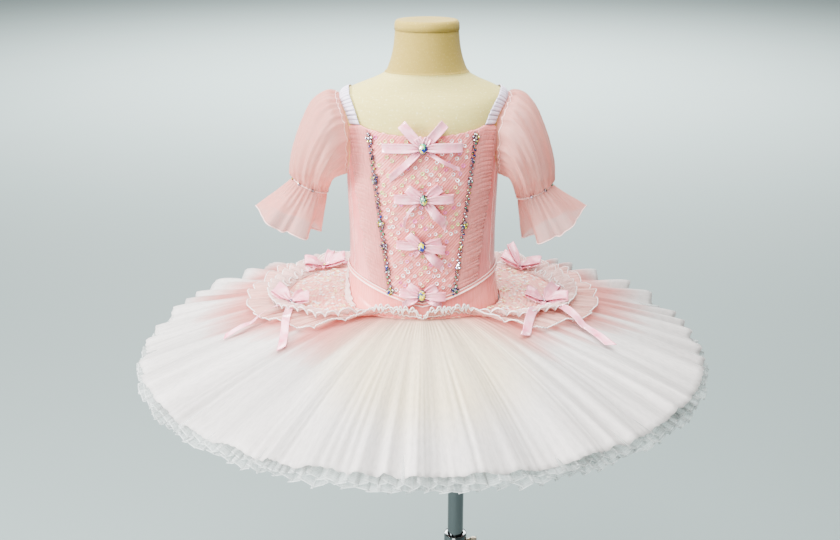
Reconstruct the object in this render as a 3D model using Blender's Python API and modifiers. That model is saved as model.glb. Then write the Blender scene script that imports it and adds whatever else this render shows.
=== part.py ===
"""A child's platter tutu on a limbless dress form with a telescopic chrome stand.

Metres, +Z up. The origin is on the floor, under the centre of the round skirt. The front faces -Y.
Angles on the body run from centre front (0) through the +X side (90) to centre back (180).
"""
import math
from bisect import bisect
from collections import namedtuple

import bmesh
import bpy
from mathutils import Vector

# ---------------------------------------------------------------- driving dimensions

CLOTH = 0.0015              # wall of satin
SHEER = 0.0012              # wall of organza and of the top net
FINE = 0.0010               # wall of the lower nets and of narrow ruffles
SEAM = 0.0004               # gap between neighbouring pieces
SEAM_TURN = 0.18            # the same gap as an angle, near centre front and centre back
SIDE_TURN = 0.05            # half of it at the side seams, where the body curves most
EASE = 0.0011               # air between the form and the cloth worn on it
KNICKERS_EASE = 0.0013
STRAP_EASE = 0.0014
TRIM_LIFT = 0.0007          # gap under trim that lies on a rounded panel
WORN = EASE + CLOTH         # from the form to the outer face of the bodice

UNDERSIDE_Z = 0.800         # flat underside of the dress form
NECK_TOP_Z = 1.2885
TOTAL_HEIGHT = 1.302

WAIST_Z = 0.962
WAIST_POINT_Z = 0.926       # lowest point of the pointed waist, centre front
WAIST_LEVEL_Z = 0.950       # level at which the waist seam's run across the body is measured
WAIST_CURVE = 1.15          # 1 is a straight V
BASQUE_HEM_Z = 0.9070
UNDERARM_Z = 1.088
NECKLINE_Z = 1.158
BACK_NECKLINE_Z = 1.148
NECKLINE_CURVE = 2.2
CORNER_TURN = 45            # angle of the bodice's corner under the strap
CORNER_Z = 1.170
PLACKET_TURN = 5.0          # half width of the back placket, as an angle

PLASTRON_TOP_HALF = 0.068
PLASTRON_TOP_Z = 1.160
PLASTRON_WAIST_HALF = 0.041
PLASTRON_WAIST_Z = 0.935
FRILL_WIDTH = 0.024
FRILL_INSET = 0.0035        # from the plastron's edge to the frill
FRILL_RAISE = 0.0045        # from the waist seam to the frill
FRILL_CROWN = 0.0010

HIP_Z = 0.888               # level at which the skirt's roots go round the body
SKIRT_INNER = 0.110         # radius from which the net starts to fall
RUFFLE_WAVES = 14
FLOUNCE_WAVES = 6

POLE_X = 0.052
POLE_RADIUS = 0.0122
POLE_WALL = 0.0015
POLE_FOOT_Z = 0.230
TUBE_RADIUS = 0.0175
TUBE_WALL = 0.0015
TUBE_TOP_Z = 0.512
BUSH_DEPTH = 0.040
BASE_RADIUS = 0.150
BASE_EDGE = 0.006           # height of the plate's rim
BASE_BEVEL = (0.004, 0.0025)   # of the rim: inward, upward
BASE_CROWN = (0.110, 0.0105)   # radius and height where the plate turns flat
BASE_BOSS_RADIUS = 0.026
BASE_BOSS_HEIGHT = 0.030
BASE_BOSS_FOOT = (0.005, 0.014)   # of the boss: outward, height
RIM_BEVEL = 0.0012
SOCKET_FLOOR_Z = 0.010
SLIDE_GAP = 0.0005
SCREW_Z = 0.496
SCREW_RADIUS = 0.003
SCREW_HEAD_RADIUS = 0.0072
SCREW_HEAD_LENGTH = 0.015
SCREW_NECK = 0.0022         # depth of the groove behind the head
SCREW_BEVEL = 0.002
SPIGOT_RADIUS = 0.0098
SPIGOT_LENGTH = 0.035
FLANGE_RADIUS = 0.0165
FLANGE_DEPTH = 0.004
FORM_BEVEL = (0.94, 0.92)   # flat underside, as a share of the section above it: width, depth
FORM_BEVEL_HEIGHT = 0.006
CAP_LIP = 0.0008
CAP_BEVEL = (0.0015, 0.002)   # of the cap's rim: inward, downward

STRAP_WALL = 0.0012
RIBBON = 0.012
RIBBON_WALL = 0.0010
KNOT_LEVELS = (0.0006, 0.0016, 0.0040, 0.0052)   # heights at which ribbons leave a knot
KNOT_CROWN = 0.0068         # top of the crystal set on the knot
CROWN_SHARE = 0.6           # its width, as a share of the knot's
# Stations along a loop and a tail: share of its length, and height of the ribbon's middle.
LOOP = ((0.45, 0.0020), (1.0, 0.0044), (0.50, 0.0076))
TAIL = ((0.32, 0.0018), (0.66, 0.0014), (1.0, 0.0014))
CLIMB_START = 0.0030        # rise of a ribbon over the ruffles: at their root, in their middle
CLIMB_MIDDLE = 0.0050       # and at their edge, and the run in which it falls to the net again
CLIMB_END = 0.0060
CLIMB_FALL = 0.020
PIPING_LIFT = 0.0027        # rise of a bow that lies over the waist piping
FRILL_LIFT = 0.0022         # and of a ribbon that runs over a frill

# Sections of the dress form: half width, depth to the front and back, superellipse power, and
# how far the section's centre stands towards +X.
Section = namedtuple("Section", "z half_width front back power shift")
FORM = [
    Section(0.780, 0.0960, 0.0640, 0.0700, 2.3, 0.0),
    Section(0.800, 0.0990, 0.0680, 0.0740, 2.3, 0.0),
    Section(0.830, 0.1040, 0.0790, 0.0840, 2.3, 0.0),
    Section(0.870, 0.1080, 0.0862, 0.0893, 2.3, 0.0),
    Section(0.905, 0.1080, 0.0862, 0.0890, 2.3, 0.0),
    Section(0.930, 0.1047, 0.0825, 0.0825, 2.3, 0.0),
    Section(0.962, 0.1012, 0.0778, 0.0758, 2.3, 0.0),
    Section(1.000, 0.1004, 0.0774, 0.0752, 2.3, 0.0),
    Section(1.030, 0.1008, 0.0778, 0.0756, 2.3, 0.0),
    Section(1.088, 0.1028, 0.0806, 0.0768, 2.3, 0.0),
    Section(1.130, 0.1048, 0.0786, 0.0776, 2.3, 0.0),
    Section(1.160, 0.1085, 0.0742, 0.0752, 2.3, 0.0),
    Section(1.180, 0.1118, 0.0690, 0.0718, 2.3, 0.0),
    Section(1.195, 0.1135, 0.0622, 0.0670, 2.25, 0.001),
    Section(1.204, 0.1118, 0.0550, 0.0615, 2.2, 0.002),
    Section(1.2105, 0.1040, 0.0490, 0.0570, 2.15, 0.003),
    Section(1.2170, 0.0900, 0.0448, 0.0532, 2.1, 0.004),
    Section(1.2240, 0.0725, 0.0420, 0.0500, 2.05, 0.005),
    Section(1.2320, 0.0580, 0.0400, 0.0475, 2.0, 0.006),
    Section(1.2450, 0.0510, 0.0390, 0.0460, 2.0, 0.006),
    Section(1.2650, 0.0456, 0.0380, 0.0440, 2.0, 0.006),
    Section(1.2885, 0.0430, 0.0370, 0.0425, 2.0, 0.006),
]
FORM_RINGS = [0.806, 0.830, 0.870, 0.905, 0.933, 0.962, 1.030, 1.088, 1.130, 1.160, 1.182, 1.197,
              1.2065, 1.2140, 1.2220, 1.2310, 1.2470, NECK_TOP_Z]

# Edge of the armhole cut in the bodice, from the strap to the underarm.
Edge = namedtuple("Edge", "angle z")
ARMHOLE = [Edge(58, 1.168), Edge(62, 1.141), Edge(68, 1.116), Edge(78, 1.096), Edge(90, UNDERARM_Z)]

# Strap over the shoulder, front half: its neck-side and sleeve-side edges.
StrapStation = namedtuple("StrapStation", "neck_angle neck_z arm_angle arm_z")
STRAP = [
    StrapStation(45.5, 1.1705, 57.5, 1.1695),
    StrapStation(50.0, 1.1880, 63.0, 1.1840),
    StrapStation(57.0, 1.2010, 71.5, 1.1945),
    StrapStation(70.0, 1.2090, 80.5, 1.2005),
    StrapStation(90.0, 1.2115, 90.0, 1.2030),
]

# The double piping's outline, from its upper to its lower edge: height from the seam, rise off the satin.
PIPING = [(0.0033, 0.0), (0.0033, 0.0013), (0.0018, 0.0021), (0.0, 0.0009),
          (-0.0018, 0.0021), (-0.0033, 0.0013), (-0.0033, 0.0)]

# Where the sleeve's gathered edge is sewn, round the armhole from the shoulder point (turn 0)
# by the front (90) to the underarm (180).
Sewn = namedtuple("Sewn", "turn angle z")
SLEEVE_SEAM = [
    Sewn(0.0, 90.0, 1.2018), Sewn(22.5, 79.2, 1.1985), Sewn(45.0, 69.5, 1.1900),
    Sewn(67.5, 62.2, 1.1740), Sewn(90.0, 61.6, 1.1540), Sewn(112.5, 66.0, 1.1310),
    Sewn(135.0, 72.2, 1.1120), Sewn(157.5, 80.6, 1.0985), Sewn(180.0, 90.0, 1.0908),
]

# Rings of the puff sleeve on the +X side, after the seam: outermost, underarm and foremost points.
SleeveRing = namedtuple("SleeveRing", "outer_x outer_z inner_x inner_z front_x front_y front_z")
SLEEVE = [
    SleeveRing(0.1280, 1.2078, 0.1130, 1.0905, 0.1110, -0.0710, 1.1560),
    SleeveRing(0.1480, 1.1960, 0.1180, 1.0890, 0.1260, -0.0810, 1.1420),
    SleeveRing(0.1660, 1.1600, 0.1205, 1.0860, 0.1400, -0.0790, 1.1200),
    SleeveRing(0.1790, 1.1200, 0.1240, 1.0800, 0.1500, -0.0640, 1.0980),
    SleeveRing(0.1835, 1.0890, 0.1290, 1.0680, 0.1560, -0.0450, 1.0790),
    SleeveRing(0.1790, 1.0780, 0.1340, 1.0580, 0.1565, -0.0310, 1.0680),
]
# Rings of the cuff flounce, with how deep its waves are.
FlounceRing = namedtuple("FlounceRing", "outer_x outer_z inner_x inner_z front_x front_y front_z wave")
FLOUNCE = [
    FlounceRing(0.1791, 1.0776, 0.1343, 1.0576, 0.1568, -0.0310, 1.0676, 0.0),
    FlounceRing(0.2030, 1.0580, 0.1400, 1.0310, 0.1710, -0.0420, 1.0410, 0.0025),
    FlounceRing(0.2240, 1.0400, 0.1475, 1.0020, 0.1860, -0.0500, 1.0130, 0.0050),
]
SLEEVE_CENTRE_Y = -0.004

# Layers of net. The sag is how its fall gathers towards the hem; the pleats start at a radius and
# deepen to the hem.
NetLayer = namedtuple("NetLayer", "name finish hem root_z drop sag pleats depth start deepening wall shares")
TOP_NET = NetLayer("skirt_top", "top_net", 0.4040, 0.9080, 0.0690, 1.5, 48, 0.0028, 0.13, 1.4, SHEER,
                   (0.0, 0.35, 0.70, 1.0))
MIDDLE_NET = NetLayer("skirt_middle", "white_net", 0.4065, 0.8950, 0.0655, 1.4, 32, 0.0040, 0.16, 1.6, FINE,
                      (0.0, 0.55, 1.0))
LOWER_NET = NetLayer("skirt_lower", "white_net", 0.4090, 0.8845, 0.0590, 1.3, 32, 0.0040, 0.16, 1.6, FINE,
                     (0.0, 0.55, 1.0))

# The overlay's edges on the skirt, by angle from centre front: lace panel, inner and outer ruffle.
Lobe = namedtuple("Lobe", "angle panel inner outer")
OVERLAY = [
    Lobe(5, 0.0945, 0.0975, 0.1010), Lobe(28, 0.0980, 0.1010, 0.1050), Lobe(40, 0.1060, 0.1110, 0.1200),
    Lobe(47, 0.1220, 0.1400, 0.1640), Lobe(55, 0.1400, 0.1680, 0.1980), Lobe(66, 0.1560, 0.1840, 0.2140),
    Lobe(78, 0.1780, 0.2080, 0.2380), Lobe(90, 0.1920, 0.2220, 0.2530), Lobe(108, 0.2080, 0.2380, 0.2700),
    Lobe(125, 0.2120, 0.2430, 0.2760), Lobe(140, 0.1980, 0.2280, 0.2600), Lobe(153, 0.1640, 0.1920, 0.2200),
    Lobe(166, 0.1230, 0.1400, 0.1580), Lobe(175, 0.1040, 0.1100, 0.1170),
]

OUTER_WAVE = 0.0036         # half height of the outer ruffle's waves at its edge
OUTER_SLOPE = 0.12          # and at most this share of its width, where it is narrow
INNER_LIFT = 0.0028         # how far the inner ruffle stands off the outer one
INNER_SLOPE = 0.20
RUFFLE_LAP = 0.0015         # how far a ruffle's root lies over the panel's edge
LEAST_PANEL = 0.004         # least widths, where the overlay runs out into a narrow band
LEAST_RUFFLE = 0.006

# Ribbon bows. A loop or tail runs out from the knot in its own direction (degrees from +across,
# towards +up) to its own length, in metres.
Bow = namedtuple("Bow", "name across up knot loops tails")
PLASTRON_BOWS = [
    Bow("bow_front_1", 0.0005, 1.1440, 0.0055, ((180, 0.052), (0, 0.050), (133, 0.040), (47, 0.041)),
        ((225, 0.062), (321, 0.058))),
    Bow("bow_front_2", 0.0015, 1.0760, 0.0052, ((178, 0.038), (2, 0.038), (143, 0.026), (38, 0.027)),
        ((222, 0.046), (312, 0.052))),
    Bow("bow_front_3", -0.0010, 1.0100, 0.0050, ((176, 0.032), (350, 0.031), (141, 0.022), (14, 0.026)),
        ((232, 0.022), (309, 0.046))),
    Bow("bow_front_4", -0.0010, 0.9400, 0.0050, ((174, 0.030), (354, 0.031), (141, 0.022), (30, 0.022)),
        ((212, 0.032), (331, 0.033))),
]
# Bows on the overlay: centre by angle and radius, directions in plan (0 = outward, 90 = onward in angle).
OVERLAY_BOWS = [
    Bow("bow_skirt_front_left", -80.0, 0.190, 0.0045, ((150, 0.026), (80, 0.024), (215, 0.026)),
        ((8, 0.086), (48, 0.054))),
    Bow("bow_skirt_back_left", -133.0, 0.210, 0.0045, ((110, 0.028), (250, 0.028), (200, 0.022)),
        ((75, 0.045), (300, 0.045))),
    Bow("bow_skirt_front_right", 81.0, 0.176, 0.0045, ((250, 0.024), (130, 0.026), (40, 0.026)),
        ((300, 0.050), (350, 0.090))),
    Bow("bow_skirt_back_right", 132.0, 0.208, 0.0045, ((160, 0.026), (215, 0.028), (60, 0.026)),
        ((5, 0.070), (315, 0.045))),
]

# Leg line of the knickers, by angle from centre front or back, and the stretch under the form.
Leg = namedtuple("Leg", "angle z")
LEG_LINE = [Leg(22, 0.806), Leg(35, 0.822), Leg(48, 0.834), Leg(62, 0.847), Leg(76, 0.860), Leg(90, 0.868)]
KNICKERS_COLUMNS = (-89.9, -76, -62, -48, -35, -22, -11, 0, 11, 22, 35, 48, 62, 76, 89.9)
KNICKERS_TOP_Z = 0.9062
LEG_EASE = 0.0014           # more air at the leg line than at the top
UnderRow = namedtuple("UnderRow", "depth half_width")
KNICKERS_UNDER = [UnderRow(0.90, 0.037), UnderRow(0.50, 0.032), UnderRow(0.0, 0.030)]

# sRGB colour, roughness and metallic value of each finish.
Finish = namedtuple("Finish", "red green blue roughness metallic")
FINISHES = {
    "pink_satin": Finish(0.93, 0.72, 0.72, 0.35, 0.0),
    "sequin_lace": Finish(0.95, 0.76, 0.76, 0.40, 0.0),
    "pink_organza": Finish(0.95, 0.80, 0.79, 0.55, 0.0),
    "white_organza": Finish(0.95, 0.90, 0.89, 0.55, 0.0),
    "white_elastic": Finish(0.88, 0.84, 0.90, 0.70, 0.0),
    "top_net": Finish(0.95, 0.92, 0.91, 0.70, 0.0),
    "white_net": Finish(0.93, 0.95, 0.94, 0.75, 0.0),
    "knicker_jersey": Finish(0.93, 0.78, 0.77, 0.60, 0.0),
    "ribbon": Finish(0.96, 0.72, 0.76, 0.25, 0.0),
    "linen": Finish(0.85, 0.80, 0.67, 0.85, 0.0),
    "chrome": Finish(0.75, 0.76, 0.76, 0.12, 1.0),
    "nickel": Finish(0.72, 0.69, 0.58, 0.25, 1.0),
}

# ---------------------------------------------------------------- tables and surfaces


def along(table, column, at):
    """Read one column of a table at a value of its first column, along a smooth curve."""
    keys = [row[0] for row in table]
    values = [getattr(row, column) for row in table]
    last = len(keys) - 1
    at = min(max(at, keys[0]), keys[last])
    i = min(max(bisect(keys, at) - 1, 0), last - 1)

    def slope(k):
        before, after = max(k - 1, 0), min(k + 1, last)
        return (values[after] - values[before]) / (keys[after] - keys[before])

    span = keys[i + 1] - keys[i]
    t = (at - keys[i]) / span
    rise = (3 - 2 * t) * t * t
    return (values[i] * (1 - rise) + values[i + 1] * rise
            + span * t * (1 - t) * ((1 - t) * slope(i) - t * slope(i + 1)))


def between(low, high, share):
    """A value part of the way from low to high."""
    return low + (high - low) * share


def ramp(value, low, high):
    """Rise smoothly from 0 at low to 1 at high."""
    t = min(max((value - low) / (high - low), 0.0), 1.0)
    return t * t * (3 - 2 * t)


def form_point(angle, z):
    """A point on the dress form's surface."""
    s, c = math.sin(math.radians(angle)), math.cos(math.radians(angle))
    power = 2 / along(FORM, "power", z)
    depth = along(FORM, "front" if c > 0 else "back", z)
    x = along(FORM, "shift", z) + along(FORM, "half_width", z) * math.copysign(abs(s) ** power, s)
    return Vector((x, -depth * math.copysign(abs(c) ** power, c), z))


def worn_point(angle, z, out):
    """A point over the dress form, moved out along the form's own normal."""
    turn, rise = 0.5, 0.001
    across = form_point(angle + turn, z) - form_point(angle - turn, z)
    up = form_point(angle, z + rise) - form_point(angle, z - rise)
    return form_point(angle, z) + across.cross(up).normalized() * out


def angle_at(x, z):
    """The front angle at which the form is x from its middle, at height z."""
    share = abs(x) / along(FORM, "half_width", z)
    return math.copysign(math.degrees(math.asin(share ** (along(FORM, "power", z) / 2))), x)


def waist_z(angle):
    """Height of the waist seam: level behind, running down to a point at centre front."""
    if abs(angle) >= 90:
        return WAIST_Z
    half = along(FORM, "half_width", WAIST_LEVEL_Z)
    reach = abs(form_point(angle, WAIST_LEVEL_Z).x) / half
    return between(WAIST_POINT_Z, WAIST_Z, reach ** WAIST_CURVE)


def plastron_half(z):
    """Half width of the plastron at height z."""
    share = (z - PLASTRON_WAIST_Z) / (PLASTRON_TOP_Z - PLASTRON_WAIST_Z)
    return between(PLASTRON_WAIST_HALF, PLASTRON_TOP_HALF, share)


def top_edge(turn, neckline):
    """Top edge of the bodice by its turn from the centre: neckline, corner at the strap, armhole."""
    armhole = ARMHOLE[0]
    if turn <= CORNER_TURN:
        return between(neckline, CORNER_Z, (turn / CORNER_TURN) ** NECKLINE_CURVE)
    if turn <= armhole.angle:
        return between(CORNER_Z, armhole.z, (turn - CORNER_TURN) / (armhole.angle - CORNER_TURN))
    return along(ARMHOLE, "z", turn)


def front_top_z(angle):
    """Top edge of the front bodice."""
    return top_edge(abs(angle), NECKLINE_Z)


def back_top_z(angle):
    """Top edge of the back bodice."""
    return top_edge(180 - abs(angle), BACK_NECKLINE_Z)


def hip_radius(angle, out):
    """Distance in plan from the skirt's centre to the hip, moved out."""
    section = [along(FORM, column, HIP_Z) for column in ("half_width", "front", "back", "power")]
    width, front, back, power = section
    s, c = math.sin(math.radians(angle)), math.cos(math.radians(angle))
    depth = front if c > 0 else back
    return (abs(s / (width + out)) ** power + abs(c / (depth + out)) ** power) ** (-1 / power)


def net_z(layer, radius):
    """Height of a net layer's outer face without its pleats."""
    share = max((radius - SKIRT_INNER) / (layer.hem - SKIRT_INNER), 0.0)
    return layer.root_z - layer.drop * share ** layer.sag


def pleat_depth(layer, radius):
    """How far a net layer's pleats rise and fall at a radius."""
    return layer.depth * max((radius - layer.start) / (layer.hem - layer.start), 0.0) ** layer.deepening


def plan(angle, radius, z):
    """A point at an angle and radius from the skirt's centre."""
    turn = math.radians(angle)
    return Vector((radius * math.sin(turn), -radius * math.cos(turn), z))


# ---------------------------------------------------------------- building blocks


def clear_scene():
    """Remove whatever the file opened with."""
    for obj in list(bpy.data.objects):
        bpy.data.objects.remove(obj, do_unlink=True)


def new_collection(name):
    """Add a collection to the scene."""
    collection = bpy.data.collections.new(name)
    bpy.context.scene.collection.children.link(collection)
    return collection


def finish_material(name, finish):
    """A Principled material of one finish, for one piece."""
    look = FINISHES[finish]
    material = bpy.data.materials.new(f"{name}_{finish}")
    material.use_nodes = True
    shader = material.node_tree.nodes["Principled BSDF"]
    linear = [((value + 0.055) / 1.055) ** 2.4 for value in (look.red, look.green, look.blue)]
    shader.inputs["Base Color"].default_value = (*linear, 1.0)
    shader.inputs["Roughness"].default_value = look.roughness
    shader.inputs["Metallic"].default_value = look.metallic
    return material


def add_piece(name, mesh, finish, collection, parent=None):
    """Put a mesh in the scene as a named piece with its own material."""
    obj = bpy.data.objects.new(name, mesh)
    collection.objects.link(obj)
    mesh.materials.append(finish_material(name, finish))
    mesh.shade_smooth()
    mesh.set_sharp_from_angle(angle=math.radians(40))
    if parent:
        obj.parent = parent
        obj.matrix_parent_inverse = parent.matrix_world.inverted()
    return obj


def thicken(obj, wall, outward=True):
    """Give an open surface its wall, on the side that its normals point to or behind them."""
    solid = obj.modifiers.new("wall", "SOLIDIFY")
    solid.thickness = wall
    solid.offset = 1.0 if outward else -1.0
    solid.use_even_offset = True
    solid.use_quality_normals = True


def grid_mesh(name, rows, closed=False):
    """A surface through rows of points, each row the same length; closed joins the row ends."""
    mesh = bpy.data.meshes.new(name)
    bm = bmesh.new()
    lines = [[bm.verts.new(point) for point in row] for row in rows]
    count = len(rows[0])
    for low, high in zip(lines, lines[1:]):
        for i in range(count if closed else count - 1):
            j = (i + 1) % count
            bm.faces.new((low[i], low[j], high[j], high[i]))
    bm.to_mesh(mesh)
    bm.free()
    return mesh


def loft_mesh(name, rings):
    """A closed solid through rings of points, with both end rings filled."""
    mesh = bpy.data.meshes.new(name)
    bm = bmesh.new()
    lines = [[bm.verts.new(point) for point in ring] for ring in rings]
    for low, high in zip(lines, lines[1:]):
        for i in range(len(low)):
            j = (i + 1) % len(low)
            bm.faces.new((low[i], low[j], high[j], high[i]))
    bm.faces.new(list(reversed(lines[0])))
    bm.faces.new(lines[-1])
    bmesh.ops.recalc_face_normals(bm, faces=bm.faces)
    bm.to_mesh(mesh)
    bm.free()
    return mesh


def turned(name, profile, steps, centre, finish, collection, parent):
    """A turned piece: a profile run down its outer side, top to bottom, and a Screw modifier."""
    mesh = bpy.data.meshes.new(name)
    bm = bmesh.new()
    verts = [bm.verts.new((radius, 0.0, z)) for radius, z in profile]
    for a, b in zip(verts, verts[1:]):
        bm.edges.new((a, b))
    if profile[0][0] > 0:
        bm.edges.new((verts[-1], verts[0]))
    bm.to_mesh(mesh)
    bm.free()
    obj = add_piece(name, mesh, finish, collection)
    obj.location = centre
    screw = obj.modifiers.new("turn", "SCREW")
    screw.steps = screw.render_steps = steps
    screw.use_merge_vertices = True
    screw.merge_threshold = 0.00001
    screw.use_smooth_shade = True
    bpy.context.view_layer.update()
    obj.parent = parent
    obj.matrix_parent_inverse = parent.matrix_world.inverted()
    return obj


def add_cutter(name, radius, depth, centre, axis, cutters, steps=24):
    """A cylinder that a Boolean cuts with."""
    mesh = bpy.data.meshes.new(name)
    bm = bmesh.new()
    bmesh.ops.create_cone(bm, cap_ends=True, segments=steps, radius1=radius, radius2=radius, depth=depth)
    bm.to_mesh(mesh)
    bm.free()
    obj = bpy.data.objects.new(name, mesh)
    cutters.objects.link(obj)
    obj.location = centre
    obj.rotation_mode = "QUATERNION"
    obj.rotation_quaternion = Vector((0, 0, 1)).rotation_difference(Vector(axis))
    obj.hide_render = True
    obj.display_type = "WIRE"
    return obj


def cut(obj, cutter):
    """Cut one piece with a cutter."""
    boolean = obj.modifiers.new("cut", "BOOLEAN")
    boolean.operation = "DIFFERENCE"
    boolean.solver = "EXACT"
    boolean.object = cutter


def spread(low, high, count):
    """Evenly spaced values, both ends included."""
    return [low + (high - low) * i / (count - 1) for i in range(count)]


# ---------------------------------------------------------------- stand


def make_stand(collection, cutters, stand, pole, screw):
    """Base plate, outer tube with its clamp screw, and the sliding pole with its spigot."""
    bore = POLE_RADIUS + SLIDE_GAP
    socket = TUBE_RADIUS + SLIDE_GAP
    turned("base_plate", [
        (0.0, SOCKET_FLOOR_Z), (socket, SOCKET_FLOOR_Z), (socket, BASE_BOSS_HEIGHT),
        (BASE_BOSS_RADIUS, BASE_BOSS_HEIGHT), (BASE_BOSS_RADIUS + BASE_BOSS_FOOT[0], BASE_BOSS_FOOT[1]),
        BASE_CROWN, (BASE_RADIUS - BASE_BEVEL[0], BASE_EDGE + BASE_BEVEL[1]),
        (BASE_RADIUS, BASE_EDGE), (BASE_RADIUS, 0.0), (0.0, 0.0),
    ], 32, (POLE_X, 0.0, 0.0), "chrome", collection, stand)

    foot = SOCKET_FLOOR_Z + SEAM
    tube = turned("stand_tube", [
        (TUBE_RADIUS - RIM_BEVEL, TUBE_TOP_Z), (TUBE_RADIUS, TUBE_TOP_Z - RIM_BEVEL), (TUBE_RADIUS, foot),
        (TUBE_RADIUS - TUBE_WALL, foot), (TUBE_RADIUS - TUBE_WALL, TUBE_TOP_Z - BUSH_DEPTH),
        (bore, TUBE_TOP_Z - BUSH_DEPTH), (bore, TUBE_TOP_Z),
    ], 24, (POLE_X, 0.0, 0.0), "chrome", collection, stand)
    hole = add_cutter("screw_hole", SCREW_RADIUS + SLIDE_GAP, TUBE_RADIUS, (POLE_X + TUBE_RADIUS, 0.0, SCREW_Z),
                      (1, 0, 0), cutters, 16)
    cut(tube, hole)

    flange = UNDERSIDE_Z - SEAM
    spigot_top = UNDERSIDE_Z + SPIGOT_LENGTH
    turned("stand_pole", [
        (SPIGOT_RADIUS, spigot_top), (SPIGOT_RADIUS, flange), (FLANGE_RADIUS, flange),
        (FLANGE_RADIUS, flange - FLANGE_DEPTH), (POLE_RADIUS, flange - FLANGE_DEPTH),
        (POLE_RADIUS, POLE_FOOT_Z), (POLE_RADIUS - POLE_WALL, POLE_FOOT_Z),
        (POLE_RADIUS - POLE_WALL, flange - 2.5 * FLANGE_DEPTH),
        (SPIGOT_RADIUS - POLE_WALL, flange - 2 * FLANGE_DEPTH), (SPIGOT_RADIUS - POLE_WALL, spigot_top),
    ], 24, (POLE_X, 0.0, 0.0), "chrome", collection, pole)
    make_screw(collection, screw)


def make_screw(collection, parent):
    """Clamp screw: a threaded shank and a grooved barrel head, turned about +X."""
    tip = POLE_X + POLE_RADIUS + SEAM
    neck = POLE_X + TUBE_RADIUS + RIM_BEVEL
    end = neck + SCREW_HEAD_LENGTH
    groove = SCREW_HEAD_RADIUS - SCREW_NECK
    profile = [(SCREW_HEAD_RADIUS - SCREW_BEVEL, end), (SCREW_HEAD_RADIUS, end - SCREW_BEVEL),
               (SCREW_HEAD_RADIUS, neck + 3 * SCREW_BEVEL), (groove, neck + 2 * SCREW_BEVEL),
               (groove, neck), (SCREW_RADIUS, neck), (SCREW_RADIUS, tip)]
    rings = []
    for radius, x in profile:
        rings.append([Vector((x, radius * math.cos(math.radians(turn)),
                              SCREW_Z + radius * math.sin(math.radians(turn))))
                      for turn in range(0, 360, 30)])
    add_piece("clamp_screw", loft_mesh("clamp_screw", rings), "nickel", collection, parent)


# ---------------------------------------------------------------- dress form


def make_form(collection, cutters, parent):
    """The limbless linen form with a flat underside, and the separate neck cap."""
    turns = [i * 11.25 for i in range(32)]
    lowest = [form_point(turn, UNDERSIDE_Z + FORM_BEVEL_HEIGHT) for turn in turns]
    rings = [[Vector((p.x * FORM_BEVEL[0], p.y * FORM_BEVEL[1], UNDERSIDE_Z)) for p in lowest]]
    rings += [[form_point(turn, z) for turn in turns] for z in FORM_RINGS]
    form = add_piece("dress_form", loft_mesh("dress_form", rings), "linen", collection, parent)
    depth = 2 * (SPIGOT_LENGTH + SEAM)
    bore = add_cutter("spigot_bore", SPIGOT_RADIUS + SLIDE_GAP, depth, (POLE_X, 0.0, UNDERSIDE_Z), (0, 0, 1),
                      cutters)
    cut(form, bore)

    neck = [form_point(turn, NECK_TOP_Z) for turn in range(0, 360, 15)]
    middle = sum(neck, Vector()) / len(neck)
    cap = []
    for z, out in ((NECK_TOP_Z + SEAM, CAP_LIP), (TOTAL_HEIGHT - CAP_BEVEL[1], CAP_LIP),
                   (TOTAL_HEIGHT, -CAP_BEVEL[0])):
        moved = [p + (p - middle).normalized() * out for p in neck]
        cap.append([Vector((p.x, p.y, z)) for p in moved])
    add_piece("neck_cap", loft_mesh("neck_cap", cap), "linen", collection, parent)


# ---------------------------------------------------------------- bodice and waist


def worn_panel(name, finish, collection, parent, side_a, side_b, bottom, top, across, up,
               out=EASE, wall=CLOTH):
    """A panel over the form between two seams; the seams and edges are functions of height or angle."""
    rows = []
    for v in spread(0.0, 1.0, up):
        row = []
        for u in spread(0.0, 1.0, across):
            z = UNDERARM_Z
            for _ in range(4):
                angle = between(side_a(z), side_b(z), u)
                z = between(bottom(angle), top(angle), v)
            row.append(worn_point(angle, z, out))
        rows.append(row)
    obj = add_piece(name, grid_mesh(name, rows), finish, collection, parent)
    thicken(obj, wall)
    return obj


def make_bodice(collection, parent):
    """Plastron, side fronts, backs and the back placket."""
    worn_panel("bodice_front_centre", "sequin_lace", collection, parent,
               lambda z: -angle_at(plastron_half(z), z), lambda z: angle_at(plastron_half(z), z),
               waist_z, front_top_z, 11, 7)
    for side, mark in ((1, "right"), (-1, "left")):
        edge = (lambda z, s=side: s * (angle_at(plastron_half(z), z) + SEAM_TURN))
        seam = (lambda z, s=side: s * (90 - SIDE_TURN))
        back_seam = (lambda z, s=side: s * (90 + SIDE_TURN))
        centre_back = (lambda z, s=side: s * (180 - PLACKET_TURN))
        front = (edge, seam) if side > 0 else (seam, edge)
        back = (back_seam, centre_back) if side > 0 else (centre_back, back_seam)
        worn_panel(f"bodice_side_front_{mark}", "pink_satin", collection, parent, *front,
                   waist_z, front_top_z, 8, 7)
        worn_panel(f"bodice_back_{mark}", "pink_satin", collection, parent, *back,
                   waist_z, back_top_z, 10, 7)
        frill(f"frill_{mark}", side, collection, parent)
    half = PLACKET_TURN - SEAM_TURN
    worn_panel("back_placket", "pink_satin", collection, parent, lambda z: 180 - half,
               lambda z: 180 + half, waist_z, lambda a: BACK_NECKLINE_Z, 3, 7)


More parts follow.
